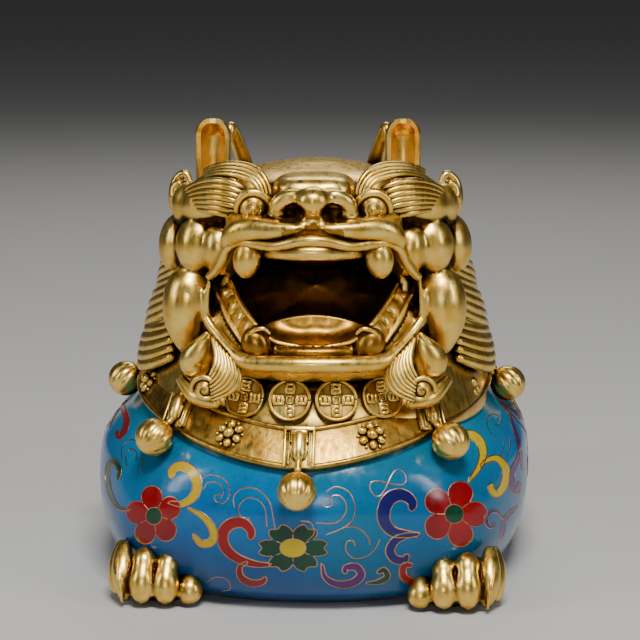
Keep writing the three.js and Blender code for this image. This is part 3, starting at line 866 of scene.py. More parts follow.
for i, (azimuth, centre, kind) in enumerate(sideFlowers):
    look = sideView(azimuth)
    petals(look, centre, **flowerKinds[kind])
    for k in range(4):
        lean = math.radians(sideScroll["lean"] + 90 * k + sideScroll["step"] * (i % 3))
        flip = 1 if (i + k) % 2 else -1
        curl = laid(scrollShape, beside(centre, lean, sideScroll), lean, sideScroll["size"], flip)
        stroke(look, curl, sideColours[(i + k) % 5], sideScroll["width"])
        start = beside(centre, lean + sideTendril["turn"], sideTendril)
        tendril(look, laid(spiralShape, start, lean + sideTendril["lean"], sideTendril["size"], -flip))

for name, forms in enamelForms.items():
    piece(name + " cells", gathered(forms), enamels[name], "body", sharp=50)
piece("cloison wires", gathered(wireForms), wireGilt, "body", sharp=60)

print("stage: collar")

# The collar's lower edge rises from front to back; bells and rosettes crowd towards the front.
collar = {
    "front": 32.5,
    "sideClimb": 9.5,
    "backClimb": 11,
    "crowding": 0.12,
    "width": 10,
    "thick": 1.6,
    "bead": 0.6,
    "bells": 8,
    "bellDiameter": 8.6,
    "bellDrop": 4.6,
    "tongueFoot": 1.3,
}


def collarTable():
    # the collar's lower edge and the steps up from it, kept by angle so that they are found once
    table = []
    turns = 336
    for k in range(turns):
        angle = 2 * math.pi * k / turns
        ahead = max(0, math.cos(angle))
        behind = max(0, -math.cos(angle))
        edge = collar["front"] + collar["sideClimb"] * (1 - ahead**2) ** 0.6
        edge += collar["backClimb"] * behind**1.5
        share = shareAt(bodyPoint, angle, edge)
        walk = []
        step = 0.004
        at = bodyPoint(share - step * 22, angle)
        gone = 0
        zero = 0
        for j in range(-22, 60):
            here = bodyPoint(share + step * j, angle)
            gone += (here - at).length
            at = here
            if j == 0:
                zero = gone
            walk.append((gone, share + step * j))
        table.append(([w[0] - zero for w in walk], [w[1] for w in walk]))
    return table


collarSteps = collarTable()


def onCollar(angle, along, proud):
    turns = len(collarSteps)
    lengths, shares = collarSteps[round(angle / (2 * math.pi) * turns) % turns]
    share = float(np.interp(along, lengths, shares))
    at = bodyPoint(share, angle)
    up = bodyPoint(share + 0.004, angle) - at
    ahead = bodyPoint(share, angle + 0.01) - at
    return at + ahead.cross(up).normalized() * proud


def bandOutline():
    width, thick, bead = collar["width"], collar["thick"], collar["bead"]
    r = 0.62
    low = [(r + r * math.cos(t), thick + bead - r + r * math.sin(t)) for t in np.linspace(math.pi, 0, 9)]
    high = [(width - x, y) for x, y in reversed(low)]
    face = [(2.0, thick), (width / 2, thick + 0.15), (width - 2.0, thick)]
    return [(0, 0.2)] + low + face + high + [(width, 0.2)]


bandProfile = bandOutline()
turns = len(collarSteps)


def bandPlace(u, v):
    along, proud = bandProfile[round(v * (len(bandProfile) - 1))]
    return onCollar(2 * math.pi * u, along, proud)


band = gridForm(turns, len(bandProfile) - 1, bandPlace, closed=False)
bmesh.ops.remove_doubles(band, verts=band.verts, dist=1e-4)
piece("collar band", band, giltBrushed, "collar", sharp=40)


def onBand(form, angle, along, proud):
    # places a form made facing +Z with its top towards +Y
    at = onCollar(angle, along, proud)
    up = (onCollar(angle, along + 1, proud) - at).normalized()
    facing = (onCollar(angle + 2 * math.pi / turns, along, proud) - at).normalized().cross(up).normalized()
    side = up.cross(facing)
    placed = Matrix((side, up, facing)).transposed().to_4x4()
    placed.translation = at
    return moved(form, placed)


def block(size, centre=(0, 0, 0), bevel=0.25):
    form = bmesh.new()
    bmesh.ops.create_cube(form, size=1)
    bmesh.ops.scale(form, vec=size, verts=form.verts)
    bmesh.ops.bevel(form, geom=form.edges, offset=bevel, segments=2, profile=0.5, affect="EDGES", material=-1)
    bmesh.ops.translate(form, vec=centre, verts=form.verts)
    return form


def bracketForms():
    # a plate with two dark slots at each side and a rounded tongue down its middle
    forms = [block((7, 9.9, 1.0), (0, 0, 0.1))]
    for side in (1, -1):
        forms.append(block((0.7, 9.9, 1.0), (3.15 * side, 0, 0.75)))
        forms.append(block((0.55, 8.6, 0.8), (2.2 * side, 0, 0.55)))
    forms.append(block((7, 1.1, 1.4), (0, 4.4, 0.7)))
    forms.append(block((3.8, 1.5, 2.2), (0, 3.3, 1.1), 0.5))
    tongue = [(0, 4, 1.0), (0, 1.5, 1.25), (0, -1.5, 1.25), (0, -3.6, 0.9)]
    forms.append(sweep(tongue, (1.5, 1.75, 1.6, 1.0), 20, 20, 0.85, (0, 0, 1)))
    for side in (1, -1):
        groove = [(1.5 * side, 3.4, 1.1), (1.7 * side, 0, 1.2), (1.2 * side, -3, 0.9)]
        forms.append(sweep(groove, (0.4, 0.5, 0.3), 8, 10))
    return forms


# The rosette's petals, their folds and the buds between them: turn, reach, height, radii, fineness.
rosetteRings = [
    (30, 2.25, 0.45, (1.15, 0.95, 0.85), 14),
    (30, 2.9, 0.75, (0.45, 0.6, 0.4), 10),
    (0, 3.0, 0.2, (0.5, 0.4, 0.4), 10),
]


def rosetteForms():
    # six petals round a ball, each with a fold
    forms = [egg((0, 0, 1.1), (1.25, 1.25, 1.1), fine=16)]
    for k in range(6):
        for first, reach, height, radii, fine in rosetteRings:
            turn = 60 * k + first
            a = math.radians(turn)
            forms.append(egg((reach * math.cos(a), reach * math.sin(a), height), radii, (0, 0, turn), fine))
    return forms


def bellForms(angle):
    # a ribbed ball on a turned stem
    radius = collar["bellDiameter"] / 2
    middle = onCollar(angle, -collar["bellDrop"], radius + 0.3)
    hook = onCollar(angle, collar["tongueFoot"] + 1.2, radius * 0.62)
    axis = (hook - middle).normalized()
    turned = Vector((0, 0, 1)).rotation_difference(axis).to_matrix().to_4x4()
    turned.translation = middle
    ribs = 10

    def ball(u, v):
        a = 2 * math.pi * u
        t = math.pi * v
        fold = 1 - 0.075 * (1 - abs(math.cos(a * ribs / 2))) ** 1.6 * math.sin(t)
        r = radius * math.sin(t) * fold
        return Vector((r * math.cos(a), r * math.sin(a), -radius * math.cos(t)))

    forms = [gridForm(60, 26, ball)]
    top = (hook - middle).length
    forms.append(sweep([(0, 0, radius - 0.6), (0, 0, radius + 0.4)], (1.5, 1.3), 18, 8, towards=(0, 1, 0)))
    forms.append(sweep([(0, 0, radius), (0, 0, top)], (0.85, 0.75), 14, 10, towards=(0, 1, 0)))
    forms.append(egg((0, 0, top - 0.3), (1.05, 1.05, 0.8), fine=14))
    return [moved(form, turned) for form in forms]


trims = []


def trimAngle(step):
    even = step / collar["bells"] * math.pi
    return even - collar["crowding"] * math.sin(2 * even)


for k in range(collar["bells"]):
    angle = trimAngle(2 * k)
    trims += [onBand(form, angle, collar["width"] / 2, collar["thick"]) for form in bracketForms()]
    between = trimAngle(2 * k + 1)
    trims += [onBand(form, between, collar["width"] / 2, collar["thick"]) for form in rosetteForms()]
    piece(f"bell {k + 1}", gathered(bellForms(angle)), gilt, f"bell_{k + 1}", sharp=60)
piece("collar trim", gathered(trims), gilt, "collar", sharp=60)

print("stage: head")


def neckPoint(share, angle):
    return loftPoint(neckSections, share, angle)


def foldedNeck(share, angle):
    at = neckPoint(share, angle)
    behind = max(0, -math.cos(angle)) * math.sin(math.pi * share)
    fold = math.cos(angle * 14) * 0.9 * behind
    return at + Vector((math.sin(angle), -math.cos(angle), 0)) * fold


def bar(points, radii, side=1, **options):
    return sweep(sided(points, side), radii, **{"sides": 16, "steps": 24, **options})


# Sections of the lower jaw from below: height, half width, front, back.
jawSections = [
    (49.5, 15, -43, -18),
    (52, 20.5, -48, -16),
    (55, 23.4, -50, -15),
    (58.5, 24.4, -47, -15),
    (65.5, 26, -38.5, -15),
]

# Outlines read in the photo, each point as a column and row of the view in pixels and a depth along Y in
# millimetres. They are read on one side and made on both.
nose = [(303, 196, -46.5), (291, 196.5, -46.8), (279, 203, -46.2), (277, 212, -45.6), (287, 219.5, -46.4)]
muzzle = [
    (226, 249, -42.2),
    (232, 236, -44),
    (247, 229, -45.6),
    (270, 230, -47.8),
    (291, 229.5, -49.4),
    (305, 228, -50),
]
upperLip = [
    (208, 278, -37.6),
    (216, 270, -39.4),
    (223, 259, -41.4),
    (228, 248, -43.4),
    (238, 242.5, -45),
    (252, 243.5, -46.8),
    (274, 246.5, -48.8),
    (296, 242, -50.6),
]
lowerLip = [(205, 316, -38.4), (216, 333, -40.6), (231, 351, -44.2), (247, 362, -47), (280, 364.5, -49.6)]
lowerLipMiddle = (314, 365, -50.4)
brow = {
    "outerTop": [(248, 187, -40.8), (229, 179, -40.4), (207, 178, -36.6), (189, 185, -31.5), (181, 196, -28)],
    "outerLow": [(240, 220, -40), (224, 216.5, -39.6), (207, 213, -37), (194, 210, -33), (184, 206, -29)],
    "innerTop": [(272, 197, -42.5), (266, 175, -40.5), (247, 163.5, -37), (222, 163, -33.5), (203, 170, -30)],
    "innerLow": [(259, 194, -44), (252, 183, -42.8), (238, 177, -40.6), (219, 175, -37.5), (204, 178, -34)],
    "curl": [(181, 199, -27), (176, 196, -26), (176, 187, -26), (181, 181, -27)],
}
tongue = {
    "back": [(263, 328, -39), (281, 321.5, -39), (299, 318, -39)],
    "backMiddle": (314, 317, -39),
    "front": [(268, 338, -44.5), (279, 343, -44.5), (297, 346.5, -44.5)],
    "frontMiddle": (314, 347.5, -45.4),
}
beard = {
    "top": [(210, 334, -42.6), (214.5, 350, -45), (214, 364, -47), (208.5, 375, -48)],
    "low": [(238, 364, -46.6), (241, 380, -47.4), (231, 394, -48.6), (211, 402, -49.4)],
    "ball": (205, 388.5, -47.4),
    "leaf": [(208, 333, -42), (203, 346, -41.6), (197, 361, -40.4), (195, 378, -38.4)],
    "crest": [(208, 332, -42.6), (199, 342, -42.6), (189, 355, -40.6), (184, 370, -38.4)],
    "under": [(220, 404, -46.4), (196, 396, -43), (178, 376, -38)],
}


def halves(points):
    return [half(*point) for point in points]


def faceForms():
    forms = [
        loftForm(foldedNeck, 168, 60, 0.12, 1.0),
        egg((0, -12, 85), (29.5, 22, 10.5), fine=40),
        egg((0, -30, 84.5), (22, 18.5, 7.2), fine=40),
        egg((0, -33.6, 91.3), (9.3, 9.4, 4.9), fine=40, power=0.55),
        egg((0, -47.3, 91.5), (4.2, 4.3, 3.3)),
        egg((0, -45.5, 86.6), (4.2, 4.4, 3.2)),
        loftForm(lambda s, a: loftPoint(jawSections, s, a), 72, 18),
    ]

    def side(s):
        cheek = [(28.0, -29, 75.4), (28.6, -31, 69.4), (29.2, -31.8, 61.8), (29.4, -32.4, 54.5)]
        return [
            bar(halves(nose), (1.5, 1.8, 2.0, 1.7, 0.8), s),
            bar(halves(muzzle), (1.2, 2.6, 2.9, 2.3, 1.5, 0.7), s),
            egg((10.4 * s, -41.4, 85.4), (9.6, 7.2, 3.3), (0, -8 * s, 12 * s)),
            egg((20.5 * s, -30, 90.6), (10.4, 6.6, 6.4), (0, 22 * s, 0)),
            egg((28.4 * s, -27.2, 88), (4.2, 4.6, 5.6), (0, 10 * s, 0)),
            egg((26.2 * s, -31, 79.8), (5.3, 5.6, 6.8), (0, -4 * s, 0)),
            egg((31.8 * s, -23.6, 79.2), (4.2, 6.2, 6.8), (0, -8 * s, 0)),
            egg((21.4 * s, -34, 79), (4.0, 5.2, 6.0), (0, 6 * s, 0)),
            bar(cheek, (2.4, 5.5, 5.1, 1.2), s),
            bar([(23.6, -36, 74), (24.0, -36, 68), (24.0, -35.6, 61)], (0.5, 0.7, 0.6), s),
        ]

    return forms + bothSides(side)


# The mouth's hollow: where it starts, how deep it goes, the height it narrows to, and its outline in front.
mouth = {"front": -60, "deep": 44, "middle": 68}
mouthRim = [(-23, 73), (-17.4, 79.4), (17.4, 79.4), (23, 73), (23, 64), (15.5, 57), (-15.5, 57), (-23, 64)]


def mouthNarrow(y):
    inward = min(max((y - mouth["front"]) / mouth["deep"], 0), 1)
    return math.sqrt(max(1e-6, 1 - inward**2.8))


def mouthForm():
    # wide in front, narrowing to the throat
    def place(u, v):
        k = u * len(mouthRim)
        i = int(k) % len(mouthRim)
        a = mouthRim[i]
        b = mouthRim[(i + 1) % len(mouthRim)]
        t = k - int(k)
        x = a[0] + (b[0] - a[0]) * t
        z = a[1] + (b[1] - a[1]) * t
        y = mouth["front"] + mouth["deep"] * v
        narrow = mouthNarrow(y)
        return Vector((x * narrow, y, mouth["middle"] + (z - mouth["middle"]) * narrow))

    return gridForm(96, 28, place)


nostrilAcross = 4.3


def nostrils():
    return bothSides(lambda s: [egg((nostrilAcross * s, -50.2, 89.0), (2.6, 5.4, 2.1), (0, 16 * s, 0))])


cuts = [moved(form, headTurn) for form in [mouthForm()] + nostrils()]
headShape = clay([moved(form, headTurn) for form in faceForms()], 0.62, 3, cuts)
head = piece("head", headShape, giltCreaseShaded, "head", hollows=(4, 14, 40))
head.data.materials.append(giltDeepShade)
head.data.materials.append(giltShade)

# Faces of the head given painted shade: the mouth's hollow, the nostrils, and the underside of the nose.
mouthShadeBounds = {
    "front": -43,
    "back": -14,
    "half": 23.6,
    "corners": (64, 73),
    "upper": 0.875,
    "lower": 1.07,
    "foot": 56.4,
    "top": 80,
}
palate = {"foot": 71, "back": -18}
nostrilBox = {"front": -48.8, "back": -44, "wide": 2.9, "foot": 86.8, "top": 91.4}
underNose = {"back": -45, "wide": 6.6, "foot": 84, "top": 88.7}


def inMouth(at):
    narrow = mouthNarrow(at.y)
    height = mouth["middle"] + (at.z - mouth["middle"]) / narrow
    below, above = mouthShadeBounds["corners"]
    slope = min(0, -mouthShadeBounds["upper"] * (height - above), -mouthShadeBounds["lower"] * (below - height))
    inside = abs(at.x) / narrow < mouthShadeBounds["half"] + slope
    deep = mouthShadeBounds["front"] < at.y < mouthShadeBounds["back"]
    return deep and inside and mouthShadeBounds["foot"] < height < mouthShadeBounds["top"]


def inNostril(at):
    aside = abs(abs(at.x) - nostrilAcross) < nostrilBox["wide"]
    deep = nostrilBox["front"] < at.y < nostrilBox["back"]
    return deep and aside and nostrilBox["foot"] < at.z < nostrilBox["top"]


def isUnderNose(at):
    ahead = at.y < underNose["back"] and abs(at.x) < underNose["wide"]
    return ahead and underNose["foot"] < at.z < underNose["top"]


unturned = headTurn.inverted()
for face in head.data.polygons:
    at = unturned @ (face.center / mm)
    if inMouth(at):
        # the palate keeps the gilt
        face.material_index = 0 if at.z > palate["foot"] and at.y < palate["back"] else 1
    elif inNostril(at) and face.normal.y > -0.75:
        face.material_index = 1
    elif isUnderNose(at) and face.normal.z < 0.1:
        face.material_index = 2


def detail(name, forms, material=gilt, sharp=60):
    turned = gathered([moved(form, headTurn) for form in forms])
    return piece(name, turned, material, "head", sharp=sharp)


def mirroredPath(points, middle):
    # from one side over the middle to the other
    ends = [Vector((-p.x, p.y, p.z)) for p in points]
    return ends + [Vector((0, middle.y, middle.z))] + [Vector((p.x, p.y, p.z)) for p in reversed(points)]


def lips():
    upper = halves(upperLip)
    upper = mirroredPath(upper, Vector((0, -51.2, upper[-1].z + 0.4)))
    lower = mirroredPath(halves(lowerLip), half(*lowerLipMiddle))
    return [
        sweep(upper, (0.9, 1.15, 1.0, 1.1, 1.15, 1.1, 1.15, 1.0, 0.9), 14, 150),
        sweep(lower, (0.8, 1.2, 1.6, 1.9, 1.9, 1.9, 1.9, 1.9, 1.6, 1.2, 0.8), 16, 120),
    ]


def eyes(side):
    centre = Vector((13.2 * side, -42.4, 89.3))

    def arc(reach, ahead, first, last, count, bulge=0.0, way=1):
        path = []
        for t in np.linspace(first, last, count):
            depth = ahead + bulge * math.sin(t)
            path.append(centre + Vector((reach * math.cos(t) * way, -depth, reach * math.sin(t))))
        return path

    iris = arc(1.75, 2.35, 0, 2 * math.pi, 25)
    lid = arc(3.7, 0.9, -0.35, math.pi + 0.2, 15, 0.6, side)
    under = arc(3.3, 1.0, math.pi * 1.1, math.pi * 1.9, 9)
    return [
        egg(centre, (3.35, 2.9, 3.35), fine=32),
        sweep(iris, (0.34, 0.34), 8, 40),
        egg((centre.x, centre.y - 2.6, centre.z), (0.75, 0.5, 0.75), fine=14),
        sweep(lid, (0.5, 0.85, 0.9, 0.9, 0.6), 10, 36),
        sweep(under, (0.3, 0.45, 0.3), 8, 16),
    ]


def browStrands(side):
    outer = halves(brow["outerTop"]), halves(brow["outerLow"])
    inner = halves(brow["innerTop"]), halves(brow["innerLow"])
    forms = strands(*outer, 7, side, (0.75, 1, 1, 0.85), 1.3)
    forms += strands(*inner, 4, side, (0.7, 1.05, 1.05, 0.8), 1.0)
    forms.append(bar(halves(brow["curl"]), (1.6, 1.7, 1.3, 0.6), side))
    return forms


def ears(side):
    # a cupped leaf with a rolled rim and a curled tip
    rim = [
        (29.2, -19, 82.2),
        (31.6, -18, 84.4),
        (33.0, -17.4, 88),
        (32.4, -17, 92.4),
        (30.2, -17.4, 94.2),
        (28.8, -18.6, 92),
    ]
    back = [(29, -15.6, 83), (31, -14.6, 87.6), (30.4, -14.6, 92.6)]
    inner = [(28.6, -19.4, 84), (29.8, -19.6, 86.4), (29.4, -19.4, 89)]
    return [
        bar(rim, (0.7, 1.1, 1.15, 1.1, 1.0, 0.6), side, sides=12, steps=36),
        bar(back, (1.6, 2.3, 1.4), side, flatten=0.55, towards=(1, 0, 0)),
        bar(inner, (0.5, 0.9, 0.5), side, sides=10, steps=16),
        egg((31.8 * side, -19, 81.8), (1.3, 1.4, 1.3), fine=16),
    ]


# The horns are hooded gutters. "open" is half the wall's angle, "hood" the share up at which the hood starts.
horn = {
    "bore": 3.15,
    "wall": 1.05,
    "foot": 84,
    "straight": 18.75,
    "apart": 22,
    "back": -15.2,
    "shift": -1.8,
    "open": 118,
    "hood": 0.72,
}


def hornForm(side):
    # a hooded gutter, open in front
    def place(u, v):
        # u runs across the wall from one lip over the back to the other, v up the horn
        angle = math.radians(horn["open"] * (2 * u - 1))
        share = min(v / horn["hood"], 1)
        over = max(0, (v - horn["hood"]) / (1 - horn["hood"]))
        radius = horn["bore"] - 0.4 * (1 - share) ** 1.5
        lift = math.sin(over * math.pi / 2)
        fold = math.cos(over * math.pi / 2)
        x = radius * math.sin(angle) * (0.25 + 0.75 * fold if over else 1)
        y = radius * 0.95 * math.cos(angle) * (fold if over else 1) - 1.5 * lift
        z = horn["foot"] + horn["straight"] * share + horn["bore"] * lift
        return Vector((horn["apart"] + x, horn["back"] + y, z))

    form = gridForm(36, 40, place, closed=False)
    bmesh.ops.recalc_face_normals(form, faces=form.faces)
    bmesh.ops.solidify(form, geom=form.faces, thickness=horn["wall"])
    bmesh.ops.scale(form, vec=(side, 1, 1), verts=form.verts)
    bmesh.ops.translate(form, vec=(horn["shift"], 0, 0), verts=form.verts)
    return form


def horns(side):
    spine = [(13.4, 10, 87), (15.6, 2, 95), (17.4, -6, 101.8), (18.2, -10.4, 104.4), (18.6, -11.6, 101)]
    spine = [Vector((x * side + horn["shift"], y, z)) for x, y, z in spine]
    return [hornForm(side), sweep(spine, (1.5, 1.8, 1.6, 1.3, 1.0), 16, 30, towards=(0, 0, 1))]


detail("lips", lips(), sharp=70)
detail("eyes", bothSides(eyes))
detail("brows", bothSides(browStrands), sharp=80)
detail("ears", bothSides(ears), sharp=70)
detail("horns", bothSides(horns), sharp=50)

print("stage: mouth")


def teeth():
    forms = []
    plate = [(-11, -42.8, 79.6), (-6, -45.6, 79.9), (0, -46.6, 80), (6, -45.6, 79.9), (11, -42.8, 79.6)]
    forms.append(sweep(plate, (1.3, 1.7, 1.8, 1.7, 1.3), 14, 60))

    def side(s):
        gum = [(9.4, -46.6, 61.9), (11, -46.9, 63.2), (13.4, -46.6, 62.4), (15.4, -45.6, 59.6)]
        return [
            egg((14.6 * s, -44.6, 78.4), (3.1, 3.0, 4.4), (0, -6 * s, 0)),
            bar(gum, (0.35, 0.5, 0.5, 0.35), s, sides=10),
            bar([(15.6, -42.4, 58.8), (19, -37.5, 63.4), (22.4, -31.5, 69)], (0.6, 0.8, 0.5), s),
            bar([(12.6, -43, 63), (16, -38, 66.6), (19, -31.5, 71)], (0.5, 0.65, 0.4), s),
        ]

    def molars(s):
        # a plate of worn teeth between the two rails
        outer = [(15.8, -42.4, 59), (19, -37.5, 63.4), (22.2, -31.5, 68.8)]
        inner = [(12.8, -42.8, 62.8), (16, -38, 66.4), (19, -31.5, 70.8)]

        def place(u, v):
            at = Vector(curveAt(outer, v)).lerp(Vector(curveAt(inner, v)), u)
            at.y -= 0.9 * abs(math.sin(v * math.pi * 4)) ** 0.6 * math.sin(math.pi * u)
            return Vector((at.x * s, at.y + 0.4, at.z))

        form = gridForm(8, 48, place, closed=False)
        bmesh.ops.solidify(form, geom=form.faces, thickness=1.0 * s)
        return [form]

    return forms + bothSides(side) + bothSides(molars)


def shadedTeeth():
    # the lower fangs and the worn row between them, in the lip's shade
    low = [(-10.5, -43.6, 57.4), (-5, -45.8, 57.4), (0, -46.4, 57.4), (5, -45.8, 57.4), (10.5, -43.6, 57.4)]
    forms = [sweep(low, (1.5, 1.7, 1.7, 1.7, 1.5), 14, 60)]
    for place in range(-4, 5):
        forms.append(egg((place * 2.1, -46.2 + abs(place) * 0.35, 57.6), (0.95, 1.6, 1.7), fine=12))
    return forms + bothSides(lambda s: [egg((12.6 * s, -45.0, 59.0), (3.3, 2.6, 4.3), (0, 24 * s, 0))])


def tonguePaths():
    back = mirroredPath(halves(tongue["back"]), half(*tongue["backMiddle"]))
    front = mirroredPath(halves(tongue["front"]), half(*tongue["frontMiddle"]))
    return back, front


def tongueForms():
    # a thin lens: a raised rim behind, a raised rim in front
    back, front = tonguePaths()
    return [sweep(back, (0.55, 0.6, 0.6, 0.55), 10, 70), sweep(front, (0.45, 0.6, 0.6, 0.45), 10, 70)]


def tongueDish():
    back, front = tonguePaths()

    def place(u, v):
        at = Vector(curveAt(back, u)).lerp(Vector(curveAt(front, u)), v)
        dip = math.sin(math.pi * v) * math.sin(math.pi * u)
        return at + Vector((0, 1.6 * dip, -1.0 * dip))

    form = gridForm(48, 12, place, closed=False)
    bmesh.ops.recalc_face_normals(form, faces=form.faces)
    bmesh.ops.solidify(form, geom=form.faces, thickness=0.7)
    return [form]


detail("teeth", teeth(), sharp=70)
detail("shaded_teeth", shadedTeeth(), giltShade, sharp=70)
detail("tongue_rims", tongueForms(), sharp=70)
# the tongue's dish takes the darker gilt as painted shade
detail("tongue", tongueDish(), giltShade, sharp=70)

print("stage: hair")


def beardForms(side):
    forms = strands(halves(beard["top"]), halves(beard["low"]), 8, side, (0.5, 1, 1, 0.6), 1.3)
    ball = sided([half(*beard["ball"])], side)[0]
    forms.append(egg(ball, (2.3, 2.2, 2.3), fine=24))
    swirl = []
    for k in range(19):
        share = k / 18
        reach = 2.9 * (1 - share) + 0.25
        turn = math.radians(200 - 640 * share)
        rise = math.sqrt(max(0.0, 2.9**2 - reach**2)) * 0.85
        swirl.append(ball + Vector((reach * math.cos(turn) * -side, -rise, reach * math.sin(turn))))
    forms.append(sweep(swirl, (0.75, 0.62, 0.5, 0.35), 8, 60))
    leafFacing = (0.35, -1, 0)
    forms.append(bar(halves(beard["leaf"]), (0.5, 2.7, 4.0, 2.8), side, flatten=0.8, towards=leafFacing))
    forms.append(bar(halves(beard["crest"]), (0.4, 0.8, 0.9, 0.6), side))
    forms.append(bar(halves(beard["under"]), (1.2, 1.9, 1.0), side))
    return forms


def outwards(angle, up=0.0):
    # the level direction away from the neck at an angle in degrees, 0 in front
    a = math.radians(angle)
    return Vector((math.sin(a), -math.cos(a), up))


def neckAt(angle, height, proud):
    share = shareAt(neckPoint, math.radians(angle), height)
    return neckPoint(share, math.radians(angle)) + outwards(angle) * proud


# Tiers of the mane beside the face, in millimetres up; each falls away to the back.
maneTiers = [
    {"top": 83.5, "bottom": 73.5, "fall": 13},
    {"top": 74.5, "bottom": 63, "fall": 13},
    {"top": 64, "bottom": 52.5, "fall": 9},
]


def maneForms(side):
    forms = []
    for tier in maneTiers:
        for first, last in ((52, 104), (84, 136)):
            late = first > 60
            shift = -3 if late else 0
            top = []
            low = []
            for k in range(5):
                share = k / 4
                angle = first + (last - first) * share
                fall = tier["fall"] * share**0.75
                proud = 0.6 + 1.7 * math.sin(math.pi * min(1, share * 0.9 + 0.1)) - (0.5 if late else 0)
                top.append(neckAt(angle, tier["top"] + shift - fall * 0.8, proud))
                low.append(neckAt(angle, max(47.5, tier["bottom"] + shift - fall), proud))
            forms += strands(top, low, 6, side, (0.7, 1.05, 0.95, 0.55), 0.9, 8, 20, (1, -0.2, 0))
    return forms


# Locks on the nape, from one side to the other: angles in degrees, and how each row is staggered.
nape = {"first": 122, "count": 15, "sway": 3, "stagger": 2.2, "slips": (-2.0, 0.0, 2.0)}
napeTiers = ((93, 76), (80, 62), (66, 52))


def napeForms():
    forms = []
    for k in range(nape["count"]):
        angle = nape["first"] + (360 - 2 * nape["first"]) * k / (nape["count"] - 1)
        shift = nape["stagger"] if k % 2 else 0
        for top, low in napeTiers:
            path = []
            for i, height in enumerate((top - shift, (top + low) / 2 - shift, low - shift)):
                sway = nape["sway"] * math.sin(i * 2.1 + k)
                path.append(neckAt(angle + sway, height, 0.5 + 0.7 * (i == 1)))
            for slip in nape["slips"]:
                across = outwards(angle + 90) * slip
                shifted = [p + across * (1 - 0.45 * i) for i, p in enumerate(path)]
                forms.append(sweep(shifted, (0.9, 1.5, 0.5), 8, 16, towards=outwards(angle, 0.2)))
    return forms


detail("beard", bothSides(beardForms), sharp=80)
detail("mane", bothSides(maneForms), sharp=80)
detail("nape", napeForms(), sharp=80)

print("stage: coins")


# The coins of the throat: sizes, places across, and the seed of their strokes.
coin = {"radius": 4.8, "ring": 0.92, "across": (-15.2, -5.1, 5.1, 15.2), "seed": 7}


def circle(radius, up, count):
    return [(radius * math.cos(t), radius * math.sin(t), up) for t in np.linspace(0, 2 * math.pi, count)]


def coinForms(x):
    # a round coin with a raised rim and shallow strokes round a square
    radius = coin["radius"]
    upright = (0, 0, 1)

    def disc(u, v):
        angle = 2 * math.pi * u
        return Vector((radius * math.cos(angle), radius * math.sin(angle), 1.8 * v - 1.4))

    forms = [gridForm(48, 2, disc)]
    forms.append(sweep(circle(radius * coin["ring"], 0.55, 33), (0.42, 0.42), 8, 64, towards=upright))
    square = [(-0.7, -0.8), (0.7, -0.8), (0.7, 0.8), (-0.7, 0.8)]
    for a, b in zip(square, square[1:] + square[:1]):
        forms.append(sweep([(*a, 0.5), (*b, 0.5)], (0.3, 0.3), 6, 6, towards=upright))
    maker = random.Random(int(x * 10) + coin["seed"])
    for quarter in range(4):
        turned = Matrix.Rotation(math.pi / 2 * quarter, 4, "Z")
        for mark in range(3):
            y = 1.5 + mark * 0.95
            wide = 1.0 + 0.5 * maker.random()
            line = [
                (-wide, y + 0.3 * maker.random(), 0.45),
                (0, y + 0.2 * maker.random(), 0.6),
                (wide, y + 0.3 * maker.random(), 0.45),
            ]
            forms.append(moved(sweep(line, (0.36, 0.5, 0.36), 8, 8, towards=upright), turned))
        for across in (-0.9, 0.7):
            line = [(across, 1.3, 0.5), (across + 0.3 * maker.random(), 3.9, 0.5)]
            forms.append(moved(sweep(line, (0.42, 0.42), 8, 6, towards=upright), turned))
    # the coins lean back and follow the throat's bow
    lean = Matrix.Rotation(math.radians(90 - 24), 4, "X")
    bow = Matrix.Rotation(math.radians(x * 1.35), 4, "Z")
    placed = Matrix.Translation((x, -47.2 + (x / 22) ** 2 * 7.5, 47)) @ bow @ lean
    return [moved(form, placed) for form in forms]


coinPieces = []
for x in coin["across"]:
    coinPieces += coinForms(x)
detail("coins", coinPieces, sharp=50)

print("stage: paws")


# Toes: shares of the paw across and ahead, and a height. Each toe runs over steps ahead and up, where up is
# a share of its height and a fixed part. Leaves of hair beside them: shares across and ahead, height; radii.
paw = {
    "toes": [(-0.76, 0.78, 7.4), (-0.27, 0.97, 11.2), (0.25, 1.0, 12.0)],
    "toeRun": [(-5.5, 1, -2), (-1.6, 1, -1.6), (0.2, 0.72, 0), (1.5, 0.52, 0), (2.0, 0.3, 0), (1.4, 0, 0.9)],
    "toeRadii": (0.18, 0.27, 0.25, 0.295, 0.265, 0.12),
    "crest": [(1.6, 0.8, 0), (3.7, 0.5, 0), (4.0, 0.3, 0), (2.6, 0, 0.7)],
    "leaves": [
        (((0.64, 1.06, 1.0), (0.70, 1.02, 5), (0.76, 0.84, 9), (0.80, 0.50, 13.4)), (1.2, 2.5, 2.5, 1.3)),
        (((0.66, 1.28, 0.9), (0.72, 1.25, 5), (0.80, 1.04, 9), (0.84, 0.70, 13)), (0.35, 0.7, 0.7, 0.3)),
        (((0.86, 0.86, 1.4), (0.92, 0.74, 5), (0.94, 0.54, 9), (0.92, 0.28, 12.6)), (1.3, 2.1, 2.0, 0.9)),
    ],
}


